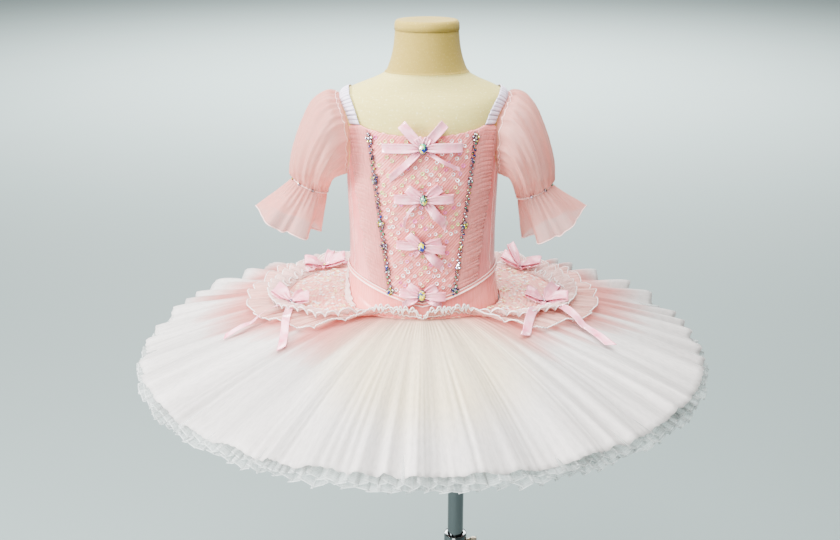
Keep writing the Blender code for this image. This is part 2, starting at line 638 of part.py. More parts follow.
def frill(name, side, collection, parent):
    """A strip of cross-pleated organza on the side front, along the plastron's edge."""
    rows = []
    for v in spread(0.0, 1.0, 9):
        row = []
        for u in spread(0.0, 1.0, 4):
            z = between(PLASTRON_WAIST_Z, PLASTRON_TOP_Z, v)
            for _ in range(4):
                x = plastron_half(z) + FRILL_INSET + FRILL_WIDTH * u
                angle = side * angle_at(x, z)
                z = between(waist_z(angle) + FRILL_RAISE, front_top_z(angle) - FINE, v)
            crown = FRILL_CROWN * math.sin(math.pi * u)
            row.append(worn_point(angle, z, WORN + TRIM_LIFT + crown))
        rows.append(row if side > 0 else row[::-1])
    obj = add_piece(name, grid_mesh(name, rows), "pink_organza", collection, parent)
    thicken(obj, FINE)


def make_waist(collection, parent):
    """Double piping over the pointed waist seam, and the basque below it."""
    mesh = bpy.data.meshes.new("waist_piping")
    bm = bmesh.new()
    turns = [i * 10 for i in range(36)]
    rings = []
    for turn in turns:
        signed = turn if turn <= 180 else turn - 360
        seam = waist_z(signed)
        rings.append([bm.verts.new(worn_point(signed, seam + dz, WORN + TRIM_LIFT + rise))
                      for dz, rise in PIPING])
    for ring, after in zip(rings, rings[1:] + rings[:1]):
        for i in range(len(PIPING)):
            j = (i + 1) % len(PIPING)
            bm.faces.new((ring[i], ring[j], after[j], after[i]))
    bmesh.ops.recalc_face_normals(bm, faces=bm.faces)
    bm.to_mesh(mesh)
    bm.free()
    add_piece("waist_piping", mesh, "ribbon", collection, parent)

    hem = (lambda angle: BASQUE_HEM_Z)
    top = (lambda angle: waist_z(angle) - 2 * SEAM)
    worn_panel("basque_front", "pink_satin", collection, parent, lambda z: -90 + SIDE_TURN,
               lambda z: 90 - SIDE_TURN, hem, top, 19, 4)
    worn_panel("basque_back", "pink_satin", collection, parent, lambda z: 90 + SIDE_TURN,
               lambda z: 270 - SIDE_TURN, hem, lambda angle: WAIST_Z - 2 * SEAM, 17, 4)


def make_straps(collection, parent):
    """A shirred elastic strap over each shoulder, from the front corner to the back one."""
    stations = [(s.neck_angle, s.neck_z, s.arm_angle, s.arm_z) for s in STRAP]
    stations += [(180 - a, az, 180 - b, bz) for a, az, b, bz in stations[-2::-1]]
    for side, mark in ((1, "right"), (-1, "left")):
        rows = []
        for u in spread(0.0, 1.0, 3):
            row = [worn_point(side * between(a, b, u), between(az, bz, u), STRAP_EASE)
                   for a, az, b, bz in stations]
            rows.append(row)
        if side > 0:
            rows.reverse()
        obj = add_piece(f"strap_{mark}", grid_mesh(f"strap_{mark}", rows), "white_elastic", collection, parent)
        thicken(obj, STRAP_WALL)


# ---------------------------------------------------------------- sleeves


def ring_point(ring, turn, side, wave=0.0):
    """A point of a sleeve or flounce ring, by its turn from the outermost point to the front."""
    outer = Vector((ring.outer_x, SLEEVE_CENTRE_Y, ring.outer_z))
    inner = Vector((ring.inner_x, SLEEVE_CENTRE_Y, ring.inner_z))
    front = Vector((ring.front_x, ring.front_y, ring.front_z))
    centre = (outer + inner) / 2
    span = (outer - inner) / 2
    mid = Vector((ring.front_x, SLEEVE_CENTRE_Y, ring.front_z))
    reach = front - mid
    c, s = math.cos(math.radians(turn)), math.sin(math.radians(turn))
    point = centre + span * c + reach * s + (mid - centre) * s * s
    point += (point - centre).normalized() * wave * math.cos(math.radians(turn * FLOUNCE_WAVES))
    return Vector((side * point.x, point.y, point.z))


def seam_point(turn, side):
    """A point of the sleeve's sewn edge, round the armhole."""
    front_turn = turn if turn <= 180 else 360 - turn
    angle = along(SLEEVE_SEAM, "angle", front_turn)
    z = along(SLEEVE_SEAM, "z", front_turn)
    return worn_point(side * (angle if turn <= 180 else 180 - angle), z, WORN - SHEER / 2)


def make_sleeves(collection, parent):
    """Puff sleeves and the flared flounces below their elastic."""
    for side, mark in ((1, "right"), (-1, "left")):
        turns = [i * 22.5 for i in range(16)]
        rows = [[seam_point(turn, side) for turn in turns]]
        rows += [[ring_point(ring, turn, side) for turn in turns] for ring in SLEEVE]
        if side < 0:
            rows.reverse()
        sleeve = add_piece(f"sleeve_{mark}", grid_mesh(f"sleeve_{mark}", rows, closed=True), "pink_organza",
                           collection, parent)
        thicken(sleeve, SHEER, outward=False)

        turns = [i * 15 for i in range(24)]
        rows = [[ring_point(ring, turn, side, ring.wave) for turn in turns] for ring in FLOUNCE]
        if side < 0:
            rows.reverse()
        flounce = add_piece(f"flounce_{mark}", grid_mesh(f"flounce_{mark}", rows, closed=True), "pink_organza",
                            collection, parent)
        thicken(flounce, SHEER, outward=False)


# ---------------------------------------------------------------- skirt


def sawtooth(step):
    """Height of a knife pleat at its three points: sharp rise, then a slow fall."""
    return (-1.0, 1.0, 0.1)[step % 3]


def make_skirt(collection, parent):
    """Top layer and two nets below it, each wider and lower than the one above."""
    for layer in (TOP_NET, MIDDLE_NET, LOWER_NET):
        count = layer.pleats * 3
        rows = []
        for share in reversed(layer.shares):
            row = []
            for i in range(count):
                angle = 360 * i / count
                radius = between(hip_radius(angle, WORN + 2 * SEAM), layer.hem, share)
                z = net_z(layer, radius) + pleat_depth(layer, radius) * sawtooth(i)
                row.append(plan(angle, radius, z))
            rows.append(row)
        obj = add_piece(layer.name, grid_mesh(layer.name, rows, closed=True), layer.finish, collection, parent)
        thicken(obj, layer.wall, outward=False)


def make_knickers(collection, parent):
    """Front and back knickers, joined at the sides and at the gusset under the form."""
    for name, facing, sign in (("knickers_front", 0, -1), ("knickers_back", 180, 1)):
        bm = bmesh.new()
        wall = []
        for v in spread(0.0, 1.0, 5):
            out = KNICKERS_EASE + LEG_EASE * (1 - v) ** 3
            line = []
            for angle in KNICKERS_COLUMNS:
                z = between(along(LEG_LINE, "z", abs(angle)), KNICKERS_TOP_Z, v)
                line.append(bm.verts.new(worn_point(facing + angle, z, out)))
            wall.append(line)
        gusset = LEG_LINE[0].angle
        middle = [vert for vert, angle in zip(wall[0], KNICKERS_COLUMNS) if abs(angle) <= gusset]
        front_edge = abs(middle[len(middle) // 2].co.y)
        under = [middle]
        for row in KNICKERS_UNDER:
            y = sign * max(front_edge * row.depth, SEAM / 2)
            under.append([bm.verts.new((-sign * u * row.half_width, y, UNDERSIDE_Z - EASE))
                          for u in spread(-1.0, 1.0, len(middle))])
        under.reverse()
        for lines in (wall, under):
            for low, high in zip(lines, lines[1:]):
                for i in range(len(low) - 1):
                    bm.faces.new((low[i], low[i + 1], high[i + 1], high[i]))
        mesh = bpy.data.meshes.new(name)
        bm.to_mesh(mesh)
        bm.free()
        thicken(add_piece(name, mesh, "knicker_jersey", collection, parent), WORN - KNICKERS_EASE)


# ---------------------------------------------------------------- overlay


def overlay_base(radius):
    """Lowest height at which cloth lies clear on top of the pleated top layer."""
    return net_z(TOP_NET, radius) + pleat_depth(TOP_NET, radius) + SEAM


def ruffle_wave(angle):
    """Wave of the overlay's ruffles at an angle, the same for both of them."""
    start, end = OVERLAY[0].angle, OVERLAY[-1].angle
    step = round((abs(angle) - start) / (end - start) * RUFFLE_WAVES * 3)
    return (-1.0, 1.0, 0.2)[step % 3]


def outer_ruffle_z(angle, radius):
    """Underside of the outer ruffle."""
    turn = abs(angle)
    root, edge = along(OVERLAY, "panel", turn), along(OVERLAY, "outer", turn)
    share = min(max((radius - root) / (edge - root), 0.0), 1.0)
    depth = min(OUTER_WAVE, (edge - root) * OUTER_SLOPE)
    return overlay_base(radius) + SHEER + SEAM + share * depth * (1 + ruffle_wave(angle))


def panel_edge(angle):
    """Radius of the lace panel's edge, where the ruffles are sewn on."""
    return max(along(OVERLAY, "panel", abs(angle)), hip_radius(angle, WORN + 3 * SEAM) + LEAST_PANEL)


def make_overlay(collection, parent):
    """Lace panels on the skirt, each edged with an inner and an outer ruffle."""
    start, end = OVERLAY[0].angle, OVERLAY[-1].angle
    for side, mark in ((1, "right"), (-1, "left")):
        angles = spread(start, end, RUFFLE_WAVES * 3 + 1)
        if side < 0:
            angles = [-angle for angle in reversed(angles)]

        rows = []
        for share in (1.0, 0.66, 0.33, 0.0):
            row = []
            for angle in angles[::2]:
                root = hip_radius(angle, WORN + 3 * SEAM)
                radius = between(root, panel_edge(angle), share)
                row.append(plan(angle, radius, overlay_base(radius)))
            rows.append(row)
        name = f"overlay_{mark}"
        thicken(add_piece(name, grid_mesh(name, rows), "sequin_lace", collection, parent), SHEER)

        for kind, finish, shares in (("outer", "pink_organza", (1.0, 0.5, 0.0)),
                                     ("inner", "white_organza", (1.0, 0.0))):
            rows = []
            for share in shares:
                row = []
                for angle in angles:
                    root = panel_edge(angle)
                    edge = max(along(OVERLAY, kind, abs(angle)), root + LEAST_RUFFLE)
                    radius = between(root - RUFFLE_LAP, edge, share)
                    z = outer_ruffle_z(angle, radius)
                    if kind == "inner":
                        lift = min(INNER_LIFT, max(radius - root, 0.0) * INNER_SLOPE)
                        z += FINE + SEAM + share * lift * (1 + 0.5 * ruffle_wave(angle))
                    row.append(plan(angle, radius, z))
                rows.append(row)
            name = f"ruffle_{kind}_{mark}"
            thicken(add_piece(name, grid_mesh(name, rows), finish, collection, parent), FINE)


# ---------------------------------------------------------------- bows


def ribbon_rings(bm, stations, direction, place):
    """Rings of a flat ribbon along its stations (run, height, half width), mapped onto what it lies on."""
    c, s = math.cos(math.radians(direction)), math.sin(math.radians(direction))
    rings = []
    last = len(stations) - 1
    for i, (run, height, half) in enumerate(stations):
        before, after = stations[max(i - 1, 0)], stations[min(i + 1, last)]
        run_step, height_step = after[0] - before[0], after[1] - before[1]
        length = math.hypot(run_step, height_step)
        lean = (-height_step / length * RIBBON_WALL / 2, run_step / length * RIBBON_WALL / 2)
        ring = []
        for side, face in ((-1, -1), (1, -1), (1, 1), (-1, 1)):
            r, h = run + lean[0] * face, height + lean[1] * face
            ring.append(bm.verts.new(place(r * c - side * half * s, r * s + side * half * c, h)))
        rings.append(ring)
    return rings


def join_rings(bm, rings):
    """Faces between neighbouring rings."""
    for low, high in zip(rings, rings[1:]):
        for i in range(len(low)):
            j = (i + 1) % len(low)
            bm.faces.new((low[i], low[j], high[j], high[i]))


def make_bow(bow, place, collection, parent):
    """A ribbon bow in one body: a many-sided knot whose sides run out into open loops and tails."""
    arms = [(direction % 360, length, True) for direction, length in bow.loops]
    arms += [(direction % 360, length, False) for direction, length in bow.tails]
    arms.sort()
    count = len(arms)
    gaps = [(arms[(i + 1) % count][0] - arms[i][0]) % 360 for i in range(count)]
    bm = bmesh.new()
    corners = []
    for i in range(count):
        turn = math.radians(arms[i][0] + gaps[i] / 2)
        x, y = bow.knot * math.cos(turn), bow.knot * 1.2 * math.sin(turn)
        corners.append([bm.verts.new(place(x, y, level)) for level in KNOT_LEVELS])
        corners[i].append(bm.verts.new(place(x * CROWN_SHARE, y * CROWN_SHARE, KNOT_CROWN)))
    for i, (direction, length, looped) in enumerate(arms):
        left, right = corners[i - 1], corners[i]
        free = math.tan(math.radians(min(gaps[i - 1], gaps[i], 90)) / 2) * 0.9
        stations = [(length * run, height, min(RIBBON / 2, length * min(run, 1.0) * free))
                    for run, height in (LOOP if looped else TAIL)]
        root = [left[0], right[0], right[1], left[1]]
        if looped:
            rings = ribbon_rings(bm, stations, direction, place)
            join_rings(bm, [root] + rings + [[left[3], right[3], right[2], left[2]]])
            bm.faces.new((left[1], right[1], right[2], left[2]))
        else:
            rings = ribbon_rings(bm, stations, direction, place)
            join_rings(bm, [root] + rings)
            bm.faces.new(rings[-1])
            for low in (1, 2):
                bm.faces.new((left[low], right[low], right[low + 1], left[low + 1]))
        bm.faces.new((left[3], right[3], right[4], left[4]))
    bm.faces.new([corner[0] for corner in reversed(corners)])
    bm.faces.new([corner[4] for corner in corners])
    bmesh.ops.recalc_face_normals(bm, faces=bm.faces)
    mesh = bpy.data.meshes.new(bow.name)
    bm.to_mesh(mesh)
    bm.free()
    add_piece(bow.name, mesh, "ribbon", collection, parent)


def make_bows(collection, parent):
    """Four bows down the plastron and four on the overlay."""
    for bow in PLASTRON_BOWS:
        lift = PIPING_LIFT if bow.up < WAIST_Z else 0.0

        def on_plastron(across, up, rise, bow=bow, lift=lift):
            x, z = bow.across + across, bow.up + up
            edge = plastron_half(z)
            over_frill = FRILL_LIFT * ramp(abs(x), edge - RIBBON, edge + RIBBON / 6)
            return worn_point(angle_at(x, z), z, WORN + lift + over_frill + rise)
        make_bow(bow, on_plastron, collection, parent)

    for bow in OVERLAY_BOWS:
        centre = plan(bow.across, bow.up, 0.0)
        outward = centre.normalized()
        onward = Vector((-outward.y, outward.x, 0.0))

        def on_overlay(along_out, along_turn, rise, centre=centre, outward=outward, onward=onward):
            spot = centre + outward * along_out + onward * along_turn
            radius = math.hypot(spot.x, spot.y)
            angle = math.degrees(math.atan2(abs(spot.x), -spot.y))
            panel, edge = along(OVERLAY, "panel", angle), along(OVERLAY, "outer", angle)
            share = min(max((radius - panel) / (edge - panel), 0.0), 1.0)
            climb = CLIMB_START * ramp(radius, panel - RIBBON, panel)
            climb += CLIMB_END * share + CLIMB_MIDDLE * math.sin(math.pi * share)
            climb *= 1 - ramp(radius, edge, edge + CLIMB_FALL)
            return Vector((spot.x, spot.y, overlay_base(radius) + SHEER + climb + rise))
        make_bow(bow, on_overlay, collection, parent)


# ---------------------------------------------------------------- assembly


def add_empty(name, location, parent=None):
    """An empty that carries a moving group, on its joint's axis."""
    empty = bpy.data.objects.new(name, None)
    empty.location = location
    bpy.context.scene.collection.objects.link(empty)
    bpy.context.view_layer.update()
    if parent:
        empty.parent = parent
        empty.matrix_parent_inverse = parent.matrix_world.inverted()
        bpy.context.view_layer.update()
    return empty


def main():
    """Build the tutu, its form and the stand."""
    clear_scene()
    parts = new_collection("ballet_tutu")
    cutters = new_collection("cutters")
    stand = add_empty("stand_root", (POLE_X, 0.0, 0.0))
    screw = add_empty("clamp_axis", (POLE_X + TUBE_RADIUS, 0.0, SCREW_Z), stand)
    pole = add_empty("pole_axis", (POLE_X, 0.0, POLE_FOOT_Z), stand)
    dressed = add_empty("swivel_axis", (POLE_X, 0.0, UNDERSIDE_Z), pole)
    make_stand(parts, cutters, stand, pole, screw)
    make_form(parts, cutters, dressed)
    make_bodice(parts, dressed)
    make_waist(parts, dressed)
    make_straps(parts, dressed)
    make_sleeves(parts, dressed)
    make_skirt(parts, dressed)
    make_knickers(parts, dressed)
    make_overlay(parts, dressed)
    make_bows(parts, dressed)


main()
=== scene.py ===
"""Ballet tutu on a limbless dress form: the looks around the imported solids.

Metres, +Z up, front towards -Y. Angles on the body run from centre front (0) through +X (90) to
centre back (180). Shapes repeat the solids' own sections and add the finer form of the cloth.
"""

import logging
import math
import random
from collections.abc import Callable, Sequence
from dataclasses import dataclass
from enum import Enum
from functools import partial

import bmesh
import bpy
import numpy as np
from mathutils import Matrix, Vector

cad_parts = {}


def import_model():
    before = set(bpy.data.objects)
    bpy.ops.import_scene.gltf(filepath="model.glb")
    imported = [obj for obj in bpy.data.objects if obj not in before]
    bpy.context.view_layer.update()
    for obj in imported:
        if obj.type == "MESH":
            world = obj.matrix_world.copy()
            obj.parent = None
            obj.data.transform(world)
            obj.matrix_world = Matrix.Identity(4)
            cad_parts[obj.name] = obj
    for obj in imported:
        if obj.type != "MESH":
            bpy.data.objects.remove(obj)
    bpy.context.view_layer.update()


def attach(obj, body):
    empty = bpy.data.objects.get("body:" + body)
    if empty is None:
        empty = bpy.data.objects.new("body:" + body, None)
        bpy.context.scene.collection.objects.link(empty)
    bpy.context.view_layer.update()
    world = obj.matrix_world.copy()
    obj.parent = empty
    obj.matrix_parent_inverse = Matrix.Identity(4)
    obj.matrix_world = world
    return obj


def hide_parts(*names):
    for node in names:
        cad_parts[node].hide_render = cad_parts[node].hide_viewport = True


LOG = logging.getLogger("ballet_tutu")
BODY = "dressed_form"
MM = 0.001
Array = Points = np.ndarray
Reals = Array | float
Curve = Callable[[Array], Array]
Node = bpy.types.Node
Adder = Callable[..., Node]

# ---------------- sizes shared with the solids

CLOTH, SHEER, FINE = 0.0015, 0.0012, 0.001
SEAM, EASE = 0.0004, 0.0011
STRAP_EASE, STRAP_WALL = 0.0014, 0.0012
TRIM_LIFT = 0.0007
WORN = EASE + CLOTH

UNDERSIDE_Z, NECK_TOP_Z, TOTAL_HEIGHT = 0.8, 1.2885, 1.302
WAIST_Z, WAIST_POINT_Z, WAIST_LEVEL_Z, WAIST_CURVE = 0.962, 0.926, 0.95, 1.15
BASQUE_HEM_Z = 0.907
UNDERARM_Z = 1.088
NECKLINE_Z, BACK_NECKLINE_Z, NECKLINE_CURVE = 1.158, 1.148, 2.2
CORNER_TURN, CORNER_Z = 45.0, 1.17
PLACKET_TURN = 5.0
SEAM_TURN, SIDE_TURN = 0.18, 0.05
PLASTRON_TOP_HALF, PLASTRON_TOP_Z = 0.068, 1.16
PLASTRON_WAIST_HALF, PLASTRON_WAIST_Z = 0.041, 0.935
FRILL_WIDTH, FRILL_INSET, FRILL_RAISE, FRILL_CROWN = 0.024, 0.0035, 0.0045, 0.001
HIP_Z, SKIRT_INNER = 0.888, 0.11
FLOUNCE_WAVES = 6
RIBBON = 0.012
POLE_X = 0.052
SETTLING = 4  # rounds in which a place and the edges that depend on it settle
SIDES = ((1, "right"), (-1, "left"))


class Table:
    """A table of named columns, read along a smooth curve of its first column."""

    plain = ("angle", "turn", "power", "ring")

    def __init__(self, columns: str, rows: Sequence[Sequence[float]]) -> None:
        """Keep the columns by name.

        Args:
            columns: Names of the columns, the first one being the key.
            rows: One row for each section or fold; lengths in it are in millimetres.
        """
        self.names = columns.split()
        self.values = np.array(rows, float)
        for place, name in enumerate(self.names):
            if not name.endswith(self.plain):
                self.values[:, place] = np.round(self.values[:, place] * MM, 7)
        self.keys = self.values[:, 0]

    def column(self, name: str) -> Array:
        """All of one column."""
        return self.values[:, self.names.index(name)]

    def at(self, name: str, key: Reals) -> Array:
        """Read a column at values of the key.

        Args:
            name: The column.
            key: Where to read it; held within the table's ends.

        Returns:
            The smooth values, in the key's shape.
        """
        keys, values = self.keys, self.column(name)
        last = len(keys) - 1
        key = np.clip(np.asarray(key, float), keys[0], keys[last])
        i = np.clip(np.searchsorted(keys, key, side="right") - 1, 0, last - 1)
        order = np.arange(last + 1)
        before, after = np.maximum(order - 1, 0), np.minimum(order + 1, last)
        slope = (values[after] - values[before]) / (keys[after] - keys[before])
        span = keys[i + 1] - keys[i]
        t = (key - keys[i]) / span
        rise = (3 - 2 * t) * t * t
        return (values[i] * (1 - rise) + values[i + 1] * rise
                + span * t * (1 - t) * ((1 - t) * slope[i] - t * slope[i + 1]))


FORM = Table("z half_width front back power shift", [
    (780, 96, 64, 70, 2.3, 0), (800, 99, 68, 74, 2.3, 0), (830, 104, 79, 84, 2.3, 0),
    (870, 108, 86.2, 89.3, 2.3, 0), (905, 108, 86.2, 89, 2.3, 0), (930, 104.7, 82.5, 82.5, 2.3, 0),
    (962, 101.2, 77.8, 75.8, 2.3, 0), (1000, 100.4, 77.4, 75.2, 2.3, 0), (1030, 100.8, 77.8, 75.6, 2.3, 0),
    (1088, 102.8, 80.6, 76.8, 2.3, 0), (1130, 104.8, 78.6, 77.6, 2.3, 0), (1160, 108.5, 74.2, 75.2, 2.3, 0),
    (1180, 111.8, 69, 71.8, 2.3, 0), (1195, 113.5, 62.2, 67, 2.25, 1), (1204, 111.8, 55, 61.5, 2.2, 2),
    (1210.5, 104, 49, 57, 2.15, 3), (1217, 90, 44.8, 53.2, 2.1, 4), (1224, 72.5, 42, 50, 2.05, 5),
    (1232, 58, 40, 47.5, 2, 6), (1245, 51, 39, 46, 2, 6), (1265, 45.6, 38, 44, 2, 6),
    (1288.5, 43, 37, 42.5, 2, 6)])
ARMHOLE = Table("angle z", [(58, 1168), (62, 1141), (68, 1116), (78, 1096), (90, 1088)])
STRAP = Table("turn neck_angle neck_z arm_angle arm_z", [
    (0, 45.5, 1170.5, 57.5, 1169.5), (1, 50, 1188, 63, 1184), (2, 57, 1201, 71.5, 1194.5),
    (3, 70, 1209, 80.5, 1200.5), (4, 90, 1211.5, 90, 1203), (5, 110, 1209, 99.5, 1200.5),
    (6, 123, 1201, 108.5, 1194.5), (7, 130, 1188, 117, 1184), (8, 134.5, 1170.5, 122.5, 1169.5)])
SLEEVE_SEAM = Table("turn angle z", [
    (0, 90, 1201.8), (22.5, 79.2, 1198.5), (45, 69.5, 1190), (67.5, 62.2, 1174), (90, 61.6, 1154),
    (112.5, 66, 1131), (135, 72.2, 1112), (157.5, 80.6, 1098.5), (180, 90, 1090.8)])
SLEEVE = Table("ring outer_x outer_z inner_x inner_z front_x front_y front_z", [
    (1, 128, 1207.8, 113, 1090.5, 111, -71, 1156), (2, 148, 1196, 118, 1089, 126, -81, 1142),
    (3, 166, 1160, 120.5, 1086, 140, -79, 1120), (4, 179, 1120, 124, 1080, 150, -64, 1098),
    (5, 183.5, 1089, 129, 1068, 156, -45, 1079), (6, 179, 1078, 134, 1058, 156.5, -31, 1068)])
FLOUNCE = Table("ring outer_x outer_z inner_x inner_z front_x front_y front_z wave", [
    (0, 179.1, 1077.6, 134.3, 1057.6, 156.8, -31, 1067.6, 0),
    (1, 203, 1058, 140, 1031, 171, -42, 1041, 2.5), (2, 224, 1040, 147.5, 1002, 186, -50, 1013, 5)])
SLEEVE_CENTRE_Y = -0.004
OVERLAY = Table("angle panel inner outer", [
    (5, 94.5, 97.5, 101), (28, 98, 101, 105), (40, 106, 111, 120), (47, 122, 140, 164), (55, 140, 168, 198),
    (66, 156, 184, 214), (78, 178, 208, 238), (90, 192, 222, 253), (108, 208, 238, 270),
    (125, 212, 243, 276), (140, 198, 228, 260), (153, 164, 192, 220), (166, 123, 140, 158),
    (175, 104, 110, 117)])
OUTER_SLOPE = 0.12
INNER_LIFT, INNER_SLOPE = 0.0028, 0.2
RUFFLE_LAP, LEAST_PANEL, LEAST_RUFFLE = 0.0015, 0.004, 0.006
LEG_LINE = Table("angle z", [(22, 806), (35, 822), (48, 834), (62, 847), (76, 860), (90, 868)])
ACROSS = np.linspace(-1, 1, 13)  # points across a ribbon

# ---------------- small mathematics


def ramp(value: Reals, low: Reals, high: Reals) -> Array:
    """Rise smoothly from 0 at low to 1 at high."""
    t = np.clip((np.asarray(value, float) - low) / (high - low), 0.0, 1.0)
    return t * t * (3 - 2 * t)


def between(low: Reals, high: Reals, share: Reals) -> Array:
    """A value part of the way from low to high."""
    return np.asarray(low, float) + (np.asarray(high, float) - low) * share


def grid(across: int, up: int) -> list[Array]:
    """Shares across and up a surface, as two arrays of rows."""
    return np.meshgrid(np.linspace(0, 1, across), np.linspace(0, 1, up))


def sin_of(degrees: Reals) -> Array:
    """Sine of degrees."""
    return np.sin(np.radians(degrees))


def cos_of(degrees: Reals) -> Array:
    """Cosine of degrees."""
    return np.cos(np.radians(degrees))


def stack(*columns: Reals) -> Points:
    """Points from their columns, each one an array or a single value."""
    return np.stack(np.broadcast_arrays(*columns), axis=-1)


def around(count: int, start: float = 0) -> Array:
    """Degrees of a full turn in equal steps."""
    return np.linspace(start, start + 360, count, endpoint=False)


def level(value: float) -> Curve:
    """A seam or an edge that keeps one value."""
    return lambda key: value + 0 * key


def each(kind: type, *rows: Sequence) -> tuple:
    """One of a kind from each row of its values."""
    return tuple(kind(*row) for row in rows)


def uneven(count: int, seed: int, low: float, high: float) -> Array:
    """Seeded uneven values, the same on each run."""
    source = random.Random(seed)
    return np.array([source.uniform(low, high) for _ in range(count)])


def wander(position: Array, seed: int) -> Array:
    """A soft, uneven wave of about -1 to 1 along a position, one wave or so to a unit.

    Args:
        position: Where along the cloth, in waves.
        seed: Which wave.

    Returns:
        The wave, in the position's shape.
    """
    source, terms = random.Random(seed), 4
    total = np.zeros_like(np.asarray(position, float))
    for _ in range(terms):
        rate, start = source.uniform(0.45, 1.55), source.uniform(0, math.tau)
        total = total + np.sin(position * rate * 2 * math.pi + start)
    return total / math.sqrt(terms * 1.6)


def unit(vectors: Points) -> Points:
    """Vectors at length 1."""
    return vectors / np.maximum(np.linalg.norm(vectors, axis=-1, keepdims=True), 1e-12)


def neighbours(points: Points, axis: int) -> Points:
    """From the point before each point to the one after it, round closed rows."""
    return np.roll(points, -1, axis=axis) - np.roll(points, 1, axis=axis)


def steps(points: Points, axis: int) -> Array:
    """Distances from each point to the next along an axis."""
    return np.linalg.norm(np.diff(points, axis=axis), axis=-1)


# ---------------- the form and the cut of the garment


def form_point(angle: Array, z: Array) -> Points:
    """Points on the dress form's surface by angle and height."""
    angle, z = np.broadcast_arrays(np.asarray(angle, float), np.asarray(z, float))
    s, c = sin_of(angle), cos_of(angle)
    power = 2 / FORM.at("power", z)
    depth = np.where(c > 0, FORM.at("front", z), FORM.at("back", z))
    x = FORM.at("shift", z) + FORM.at("half_width", z) * np.sign(s) * np.abs(s) ** power
    return stack(x, -depth * np.sign(c) * np.abs(c) ** power, z)


def worn_point(angle: Reals, z: Reals, out: Reals) -> Points:
    """Points over the dress form, moved out along its normal."""
    angle, z = np.broadcast_arrays(np.asarray(angle, float), np.asarray(z, float))
    across = form_point(angle + 0.5, z) - form_point(angle - 0.5, z)
    up = form_point(angle, z + 0.001) - form_point(angle, z - 0.001)
    return form_point(angle, z) + unit(np.cross(across, up)) * np.asarray(out)[..., None]


def angle_at(x: Array, z: Array) -> Array:
    """Front angle at which the form is x from its middle, at height z."""
    share = np.clip(np.abs(x) / FORM.at("half_width", z), 0, 1)
    return np.sign(x) * np.degrees(np.arcsin(share ** (FORM.at("power", z) / 2)))


def waist_z(angle: Array) -> Array:
    """Height of the waist seam: level behind, running down to a point at centre front."""
    angle = np.asarray(angle, float)
    reach = np.abs(form_point(angle, WAIST_LEVEL_Z)[..., 0]) / FORM.at("half_width", WAIST_LEVEL_Z)
    front = between(WAIST_POINT_Z, WAIST_Z, reach ** WAIST_CURVE)
    return np.where(cos_of(angle) <= 1e-9, WAIST_Z, front)


def plastron_half(z: Array) -> Array:
    """Half width of the plastron at height z."""
    return between(PLASTRON_WAIST_HALF, PLASTRON_TOP_HALF,
                   (z - PLASTRON_WAIST_Z) / (PLASTRON_TOP_Z - PLASTRON_WAIST_Z))


def plastron_edge(z: Array) -> Array:
    """Angle of the plastron's edge at height z."""
    return angle_at(plastron_half(z), z)


def top_edge(turn: Array, neckline: float) -> Array:
    """Top edge of the bodice by its turn from the centre: neckline, corner at the strap, armhole."""
    first = ARMHOLE.keys[0]
    neck = between(neckline, CORNER_Z, (np.clip(turn, 0, CORNER_TURN) / CORNER_TURN) ** NECKLINE_CURVE)
    corner = between(CORNER_Z, ARMHOLE.column("z")[0], (turn - CORNER_TURN) / (first - CORNER_TURN))
    return np.where(turn <= CORNER_TURN, neck, np.where(turn <= first, corner, ARMHOLE.at("z", turn)))


def front_top_z(angle: Array) -> Array:
    """Top edge of the front bodice."""
    return top_edge(np.abs(angle), NECKLINE_Z)


def back_top_z(angle: Array) -> Array:
    """Top edge of the back bodice."""
    return top_edge(180 - np.abs(angle), BACK_NECKLINE_Z)


def hip_radius(angle: Array, out: float) -> Array:
    """Distance in plan from the skirt's centre to the hip, moved out."""
    power, width, front, back = (FORM.at(name, HIP_Z) for name in ("power", "half_width", "front", "back"))
    s, c = sin_of(angle), cos_of(angle)
    depth = np.where(c > 0, front, back)
    return (np.abs(s / (width + out)) ** power + np.abs(c / (depth + out)) ** power) ** (-1 / power)


def plan(angle: Reals, radius: Reals, z: Reals) -> Points:
    """Points at an angle and radius from the skirt's centre."""
    return stack(radius * sin_of(angle), -radius * cos_of(angle), z)


# ---------------- meshes


def round_rows(points: Points, closed: bool) -> Points:
    """Rows of points, each with its first point again at its end where it is closed."""
    return np.concatenate([points, points[:, :1]], axis=1) if closed else points


def cloth_uv(points: Points, closed: bool = False) -> Points:
    """Places on the cloth in metres: across along the middle row, up along the mean column.

    Args:
        points: Rows of points.
        closed: Whether each row joins its own start.

    Returns:
        One (u, v) a point, with one more column where the rows are closed.
    """
    rows = round_rows(points, closed)
    across = np.concatenate([[0.0], np.cumsum(steps(rows[len(rows) // 2], 0))])
    up = np.concatenate([[0.0], np.cumsum(steps(rows, 0).mean(axis=1))])
    return np.stack(np.meshgrid(across, up), axis=-1)


def linked(name: str, data: bpy.types.ID) -> bpy.types.Object:
    """A new object in the scene."""
    piece = bpy.data.objects.new(name, data)
    bpy.context.scene.collection.objects.link(piece)
    return piece


def shown(name: str, mesh: bpy.types.Mesh, finish: "Finish", body: str = BODY) -> bpy.types.Object:
    """Put a mesh in the scene, shaded smooth, with its finish, riding on its body."""
    mesh.polygons.foreach_set("use_smooth", np.ones(len(mesh.polygons), bool))
    mesh.materials.append(finish.material())
    piece = linked(name, mesh)
    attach(piece, body)
    return piece


